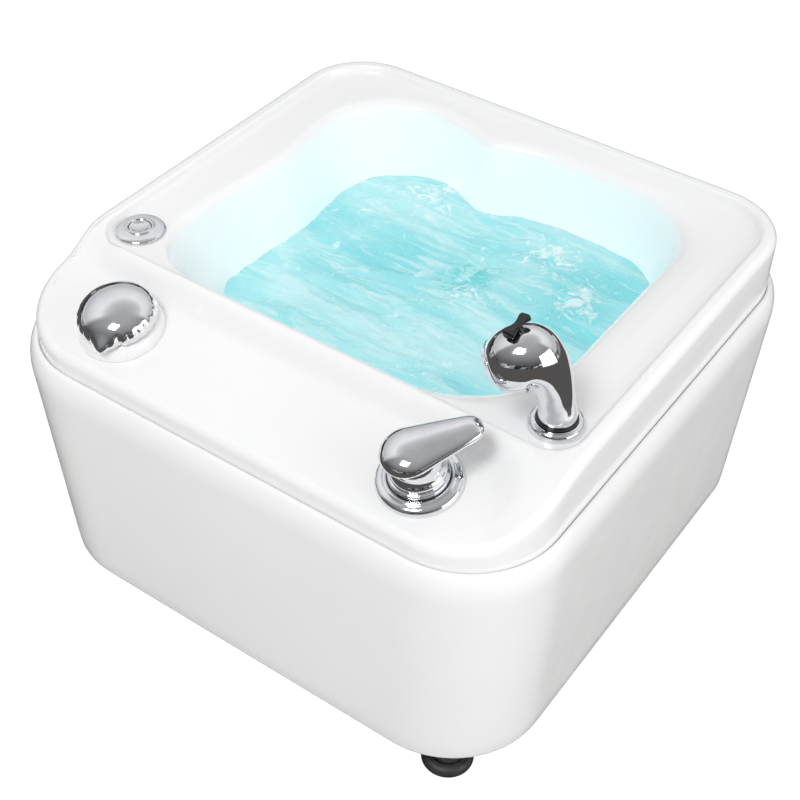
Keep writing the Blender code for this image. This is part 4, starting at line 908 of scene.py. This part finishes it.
def galvanised():
    n = Looks("zinc_spangle")
    cells = n.add("ShaderNodeTexVoronoi", feature="F1")
    cells.inputs["Scale"].default_value = 85.0
    n.link(n.place, cells.inputs["Vector"])
    shade = n.span(cells.outputs["Distance"], 0.0, 0.7)
    tone = n.blend(shade, (0.60, 0.62, 0.64), (0.44, 0.46, 0.48))
    rust = n.span(n.noise(18.0, 5.0, 0.65), 0.66, 0.78, 0.0, 0.55)
    tone = n.blend(rust, tone, (0.28, 0.17, 0.10))
    rough = n.math("ADD", n.span(shade, 0.0, 1.0, 0.34, 0.48), n.math("MULTIPLY", rust, 0.35))
    return n.surface(tone, rough, n.bump(cells.outputs["Distance"], 0.00004), Metallic=0.85)


WEAVE = 2600.0                 # radians of braid per metre


def braided():
    n = Looks("steel_braid")
    split = n.add("ShaderNodeSeparateXYZ")
    n.link(n.place, split.inputs[0])
    around = n.math("ADD", split.outputs["X"], split.outputs["Y"])
    waves = []
    for sign in (1, -1):
        up = n.math("MULTIPLY", split.outputs["Z"], WEAVE * sign)
        waves.append(n.math("SINE", n.math("ADD", up, n.math("MULTIPLY", around, WEAVE))))
    weave = n.span(n.math("MAXIMUM", *waves), -0.2, 1.0)
    stain = n.span(n.noise(45.0, 4.0, 0.6), 0.45, 0.75, 0.0, 0.4)
    tone = n.blend(weave, (0.20, 0.21, 0.22), (0.70, 0.71, 0.73))
    tone = n.blend(stain, tone, (0.34, 0.33, 0.31))
    return n.surface(tone, n.span(weave, 0.0, 1.0, 0.55, 0.28), n.bump(weave, 0.00025), Metallic=0.9)


def plywood():
    n = Looks("birch_plywood")
    split = n.add("ShaderNodeSeparateXYZ")
    n.link(n.place, split.inputs[0])
    plies = n.math("PINGPONG", n.math("MULTIPLY", split.outputs["X"], 560.0), 1.0)
    grain = n.noise(90.0, 5.0, 0.6, stretch=(1, 0.10, 1), distortion=0.6)
    tone = n.blend(n.span(grain, 0.35, 0.65), (0.62, 0.44, 0.26), (0.46, 0.30, 0.16))
    tone = n.blend(n.span(plies, 0.4, 0.6, 0.0, 0.35), tone, (0.34, 0.21, 0.11))
    damp = n.span(n.noise(16.0, 4.0), 0.55, 0.7, 0.0, 0.35)
    tone = n.blend(damp, tone, (0.30, 0.22, 0.15))
    return n.surface(tone, n.span(grain, 0.3, 0.7, 0.62, 0.80), n.bump(grain, 0.00012))


WATER_SWIRL = (0.012, 0.092)   # where the two jets meet
WATER_PAINTED_GLOW, WATER_PAINTED_BOUNCE_GLOW = 0.07, 0.65               # painted glow: emission strength of the water's colour, as the camera sees it and as it lights the tub
FOAM_SPOTS = ((-0.098, 0.178, 0.050), (0.060, 0.165, 0.060), (0.120, 0.120, 0.045), (0.030, 0.060, 0.035))


def water():
    """Churned blue-green bath water: streaks, foam where the jets rise, a darker swirl between them."""
    n = Looks("bath_water")
    turn = math.radians(-35)
    wide = n.noise(9.0, 3.0, 0.5, stretch=(0.55, 1.6, 1), turn=turn, distortion=0.4)
    streak = n.noise(34.0, 5.0, 0.62, stretch=(0.35, 1.9, 1), turn=turn, distortion=1.3)
    clump = n.noise(62.0, 6.0, 0.66, distortion=1.6)
    fine = n.noise(210.0, 4.0, 0.6, stretch=(0.6, 1.4, 1), turn=turn, distortion=0.8)

    def near(x, y, radius):
        dist = n.add("ShaderNodeVectorMath", operation="DISTANCE")
        flat = n.add("ShaderNodeVectorMath", operation="MULTIPLY")
        n.link(n.place, flat.inputs[0])
        flat.inputs[1].default_value = (1, 1, 0)
        n.link(flat.outputs[0], dist.inputs[0])
        dist.inputs[1].default_value = (x, y, 0)
        return n.span(dist.outputs["Value"], 0.0, radius, 1.0, 0.0, smooth=True)

    foam_zone = 0.0
    for x, y, radius in FOAM_SPOTS:
        foam_zone = n.math("MAXIMUM", foam_zone, near(x, y, radius))
    tone = n.blend(n.span(wide, 0.36, 0.64), (0.250, 0.720, 0.770), (0.540, 0.850, 0.880))
    tone = n.blend(n.span(streak, 0.50, 0.72, 0.0, 0.75), tone, (0.70, 0.89, 0.91))
    swirl = n.math("MULTIPLY", near(*WATER_SWIRL, 0.050), n.span(clump, 0.42, 0.56, 1.0, 0.0))
    tone = n.blend(n.math("MULTIPLY", swirl, 0.9), tone, (0.100, 0.62, 0.64))
    lift = n.math("ADD", clump, n.math("MULTIPLY", foam_zone, 0.17))
    foam = n.span(lift, 0.60, 0.72, 0.0, 0.85)
    tone = n.blend(foam, tone, (0.78, 0.92, 0.94))
    # painted highlight: fine bright glints put into the water's colour
    painted_glint = n.span(fine, 0.66, 0.74, 0.0, 0.6)
    tone = n.blend(painted_glint, tone, (0.78, 0.95, 0.97))
    ripple = n.bump(streak, 0.0030, under=n.bump(wide, 0.006))
    normal = n.bump(clump, 0.0016, under=ripple)
    material = n.surface(tone, n.span(foam, 0.0, 1.0, 0.06, 0.35), normal, IOR=1.33)
    # painted glow: the water's colour is also its emission, seen by the camera and lighting the basin walls
    # cyan
    n.feed(n.bsdf.inputs["Emission Color"], tone)
    bounced = n.add("ShaderNodeLightPath").outputs["Is Diffuse Ray"]
    glow = n.math("ADD", WATER_PAINTED_GLOW, n.math("MULTIPLY", bounced, WATER_PAINTED_BOUNCE_GLOW))
    n.feed(n.bsdf.inputs["Emission Strength"], glow)
    return material


def make_water(material):
    """Surface of the bath water, a little wider than the basin at its height."""
    level = next(k for k, row in enumerate(BASIN_LEVELS) if row[0] == WATER_Z)
    z, left, right, front, back = BASIN_LEVELS[level]
    edge = basin_ring(z, left - 0.002, right - 0.002, front - 0.002, back - 0.002)
    centre = Vector((-0.005, 0.055))
    rings, points = 96, []
    for k in range(rings):
        t = 1 - k / (rings - 0.5)
        for x, y, _ in edge:
            p = centre.lerp(Vector((x, y)), t)
            height = 0.0032 * noise.fractal(Vector((p.x * 16, p.y * 26, 0.3)), 0.8, 2.1, 4)
            height += 0.0012 * noise.fractal(Vector((p.x * 60, p.y * 75, 1.7)), 0.9, 2.0, 3)
            for sx, sy, radius in FOAM_SPOTS:
                fall = (p - Vector((sx, sy))).length / radius
                height += 0.0065 * math.exp(-fall * fall)
            points.append((p.x, p.y, WATER_Z + height))
    faces = grid_faces(rings, len(edge))
    last = (rings - 1) * len(edge)
    faces.append(tuple(range(last, last + len(edge))))
    surface = mesh_object("bath_water_surface", points, faces, angle=180)
    modifier(surface, "SUBSURF", levels=1, render_levels=1)
    surface.data.materials.append(material)


# ---------------------------------------------------------------- studio
def world():
    """Even white light; polished metal sees a darker studio with a few bright panels."""
    bpy.context.scene.world = bpy.data.worlds.new("studio")
    n = Nodes(bpy.context.scene.world)
    n.tree.nodes.clear()

    def ramp(source, stops, interpolation="LINEAR"):
        node = n.add("ShaderNodeValToRGB")
        node.color_ramp.interpolation = interpolation
        while len(node.color_ramp.elements) < len(stops):
            node.color_ramp.elements.new(0.5)
        for element, (at, value) in zip(node.color_ramp.elements, stops):
            element.position = at
            element.color = (value, value, value * 1.01, 1)
        n.link(source, node.inputs[0])
        return node.outputs[0]

    coord = n.add("ShaderNodeTexCoord").outputs["Generated"]
    split = n.add("ShaderNodeSeparateXYZ")
    n.link(coord, split.inputs[0])
    height = n.span(split.outputs["Z"], -1.0, 1.0)
    forward = n.add("ShaderNodeVectorMath", operation="DOT_PRODUCT")
    n.link(coord, forward.inputs[0])
    forward.inputs[1].default_value = AWAY
    side = n.span(forward.outputs["Value"], -0.12, 0.12, smooth=True)
    studio = n.blend(side, ramp(height, BEFORE), ramp(height, BEHIND))
    things = n.add("ShaderNodeTexVoronoi", feature="F1", distance="CHEBYCHEV")
    things.inputs["Scale"].default_value = 5.5
    n.link(coord, things.inputs["Vector"])
    cluttered = n.blend(ramp(height, THINGS_BAND), studio, ramp(things.outputs["Color"], THINGS, "CONSTANT"))

    even = n.light("ShaderNodeBackground", (1, 1, 1, 1), EVEN_LIGHT)
    seen = n.light("ShaderNodeBackground", cluttered, 1.0)
    plain = n.light("ShaderNodeBackground", (0.8, 0.8, 0.8, 1), PLAIN_LIGHT)
    final = n.either("Is Camera Ray", n.either("Is Glossy Ray", even, seen), plain)
    n.link(final, n.add("ShaderNodeOutputWorld").inputs["Surface"])


EVEN_LIGHT = 0.61
PLAIN_LIGHT = 1.05             # strength of the glow that the camera sees on the floor and behind it
AWAY = (-0.56, 0.83, 0.0)      # level direction from the camera to the bath
# brightness seen in polished metal; 0 is straight down, 0.5 the horizon and 1 straight up
BEHIND = ((0.0, 0.10), (0.49, 0.14), (0.52, 0.10), (0.60, 0.12), (0.62, 0.80), (0.66, 0.55), (0.82, 0.85),
          (0.90, 0.95), (0.95, 0.62), (1.0, 0.46))
BEFORE = ((0.0, 0.10), (0.49, 0.08), (0.52, 0.05), (0.66, 0.14), (0.80, 0.28), (0.92, 0.38), (1.0, 0.46))
THINGS = ((0.0, 0.02), (0.45, 0.10), (0.62, 0.35), (0.75, 0.75))
THINGS_BAND = ((0.0, 0.0), (0.500, 0.0), (0.510, 0.85), (0.585, 0.85), (0.600, 0.0), (1.0, 0.0))


def softbox(name, place, aim, width, height, power):
    lamp = bpy.data.lights.new(name, "AREA")
    lamp.shape = "RECTANGLE"
    lamp.size, lamp.size_y = width, height
    lamp.energy = power
    new_object(name, lamp).matrix_world = facing(place, Vector(place) - Vector(aim))


def floor():
    """Pale floor, plain white to the camera so the bath stands on an open sweep."""
    n = Looks("studio_floor")
    shade = n.span(n.noise(3.0, 2.0), 0.3, 0.7)
    n.surface(n.blend(shade, (0.86, 0.86, 0.86), (0.88, 0.88, 0.88)), 0.6)
    glow = n.light("ShaderNodeEmission", (1, 1, 1, 1), PLAIN_LIGHT)
    dim = n.light("ShaderNodeEmission", (0.10, 0.095, 0.09, 1), 1.0)
    final = n.either("Is Camera Ray", n.either("Is Glossy Ray", n.bsdf.outputs[0], dim), glow)
    n.link(final, n.tree.nodes["Material Output"].inputs["Surface"])
    size = 12.0
    plane = mesh_object("floor", [(-size, -size, 0), (size, -size, 0), (size, size, 0), (-size, size, 0)],
                        [(0, 1, 2, 3)])
    plane.data.materials.append(n.owner)


def camera():
    """The photo's camera: its right and up directions, place and lens come from the fit to the photo."""
    right = Vector((0.818619, 0.574007, 0.019468))
    up = Vector((-0.397280, 0.541449, 0.740947))
    data = bpy.data.cameras.new("camera")
    data.lens = 67.16
    data.sensor_width = 36.0
    data.clip_start = 0.05
    obj = new_object("camera", data)
    turn = Matrix((right, up, right.cross(up))).transposed().to_4x4()
    obj.matrix_world = Matrix.Translation((0.61571, -0.92362, 1.16581)) @ turn
    bpy.context.scene.camera = obj


# ---------------------------------------------------------------- build
MATERIALS = {                  # for each slot of the record
    "white_acrylic": acrylic(),
    "chrome": chrome_plate(),
    "satin_steel": brushed("satin_steel_disc", (0.62, 0.59, 0.56), (0.44, 0.42, 0.40), rough=(0.34, 0.5),
                           stretch=(1, 1, 1)),
    "zinc_plated_frame": galvanised(),
    "black_rubber": moulded("rubber_black", (0.016, 0.016, 0.018), (0.09, 0.09, 0.088), (0.42, 0.68),
                            dust=0.35),
    "black_plastic": moulded("plastic_black", (0.010, 0.010, 0.012), (0.05, 0.05, 0.052), (0.16, 0.30),
                             dust=0.15),
    "grey_plastic": moulded("plastic_grey", (0.30, 0.31, 0.33), (0.42, 0.42, 0.42), (0.38, 0.55)),
    "white_pipe": moulded("pipe_white", (0.80, 0.80, 0.78), (0.62, 0.61, 0.57), (0.30, 0.45), dust=0.35),
    "motor_enamel": moulded("motor_blue_enamel", (0.035, 0.055, 0.115), (0.16, 0.17, 0.19), (0.28, 0.50),
                            dust=0.30),
    "brass": brushed("brass_turned", (0.72, 0.50, 0.21), (0.42, 0.27, 0.11), rough=(0.24, 0.42)),
    "braided_hose": braided(),
    "plywood": plywood(),
    "clear_air_line": moulded("air_line_vinyl", (0.60, 0.68, 0.70), (0.45, 0.50, 0.50), (0.18, 0.32)),
}
STEEL_HOSE = brushed("hose_wound_steel", (0.74, 0.75, 0.77), (0.40, 0.40, 0.42), rough=(0.16, 0.30))

for make in (make_tub, make_skirt, make_mixer, make_knob, make_shower, make_button, make_drain, make_feet):
    make()

for node in frame["nodes"].values():                   # the CAD pieces that stay keep their slots
    for place in node.material_slots:
        key = place.material.name.split(".")[0] if place.material else ""
        if key in MATERIALS:
            place.material = MATERIALS[key]

make_water(water())
floor()
world()
softbox("key", (0.10, -1.50, 2.35), (0.0, 0.0, 0.3), 0.7, 0.7, 25.0)
softbox("fill", (2.3, 0.1, 1.0), (0.1, 0.0, 0.2), 1.8, 1.6, 18.0)
camera()
bpy.context.scene.view_settings.view_transform = "Standard"
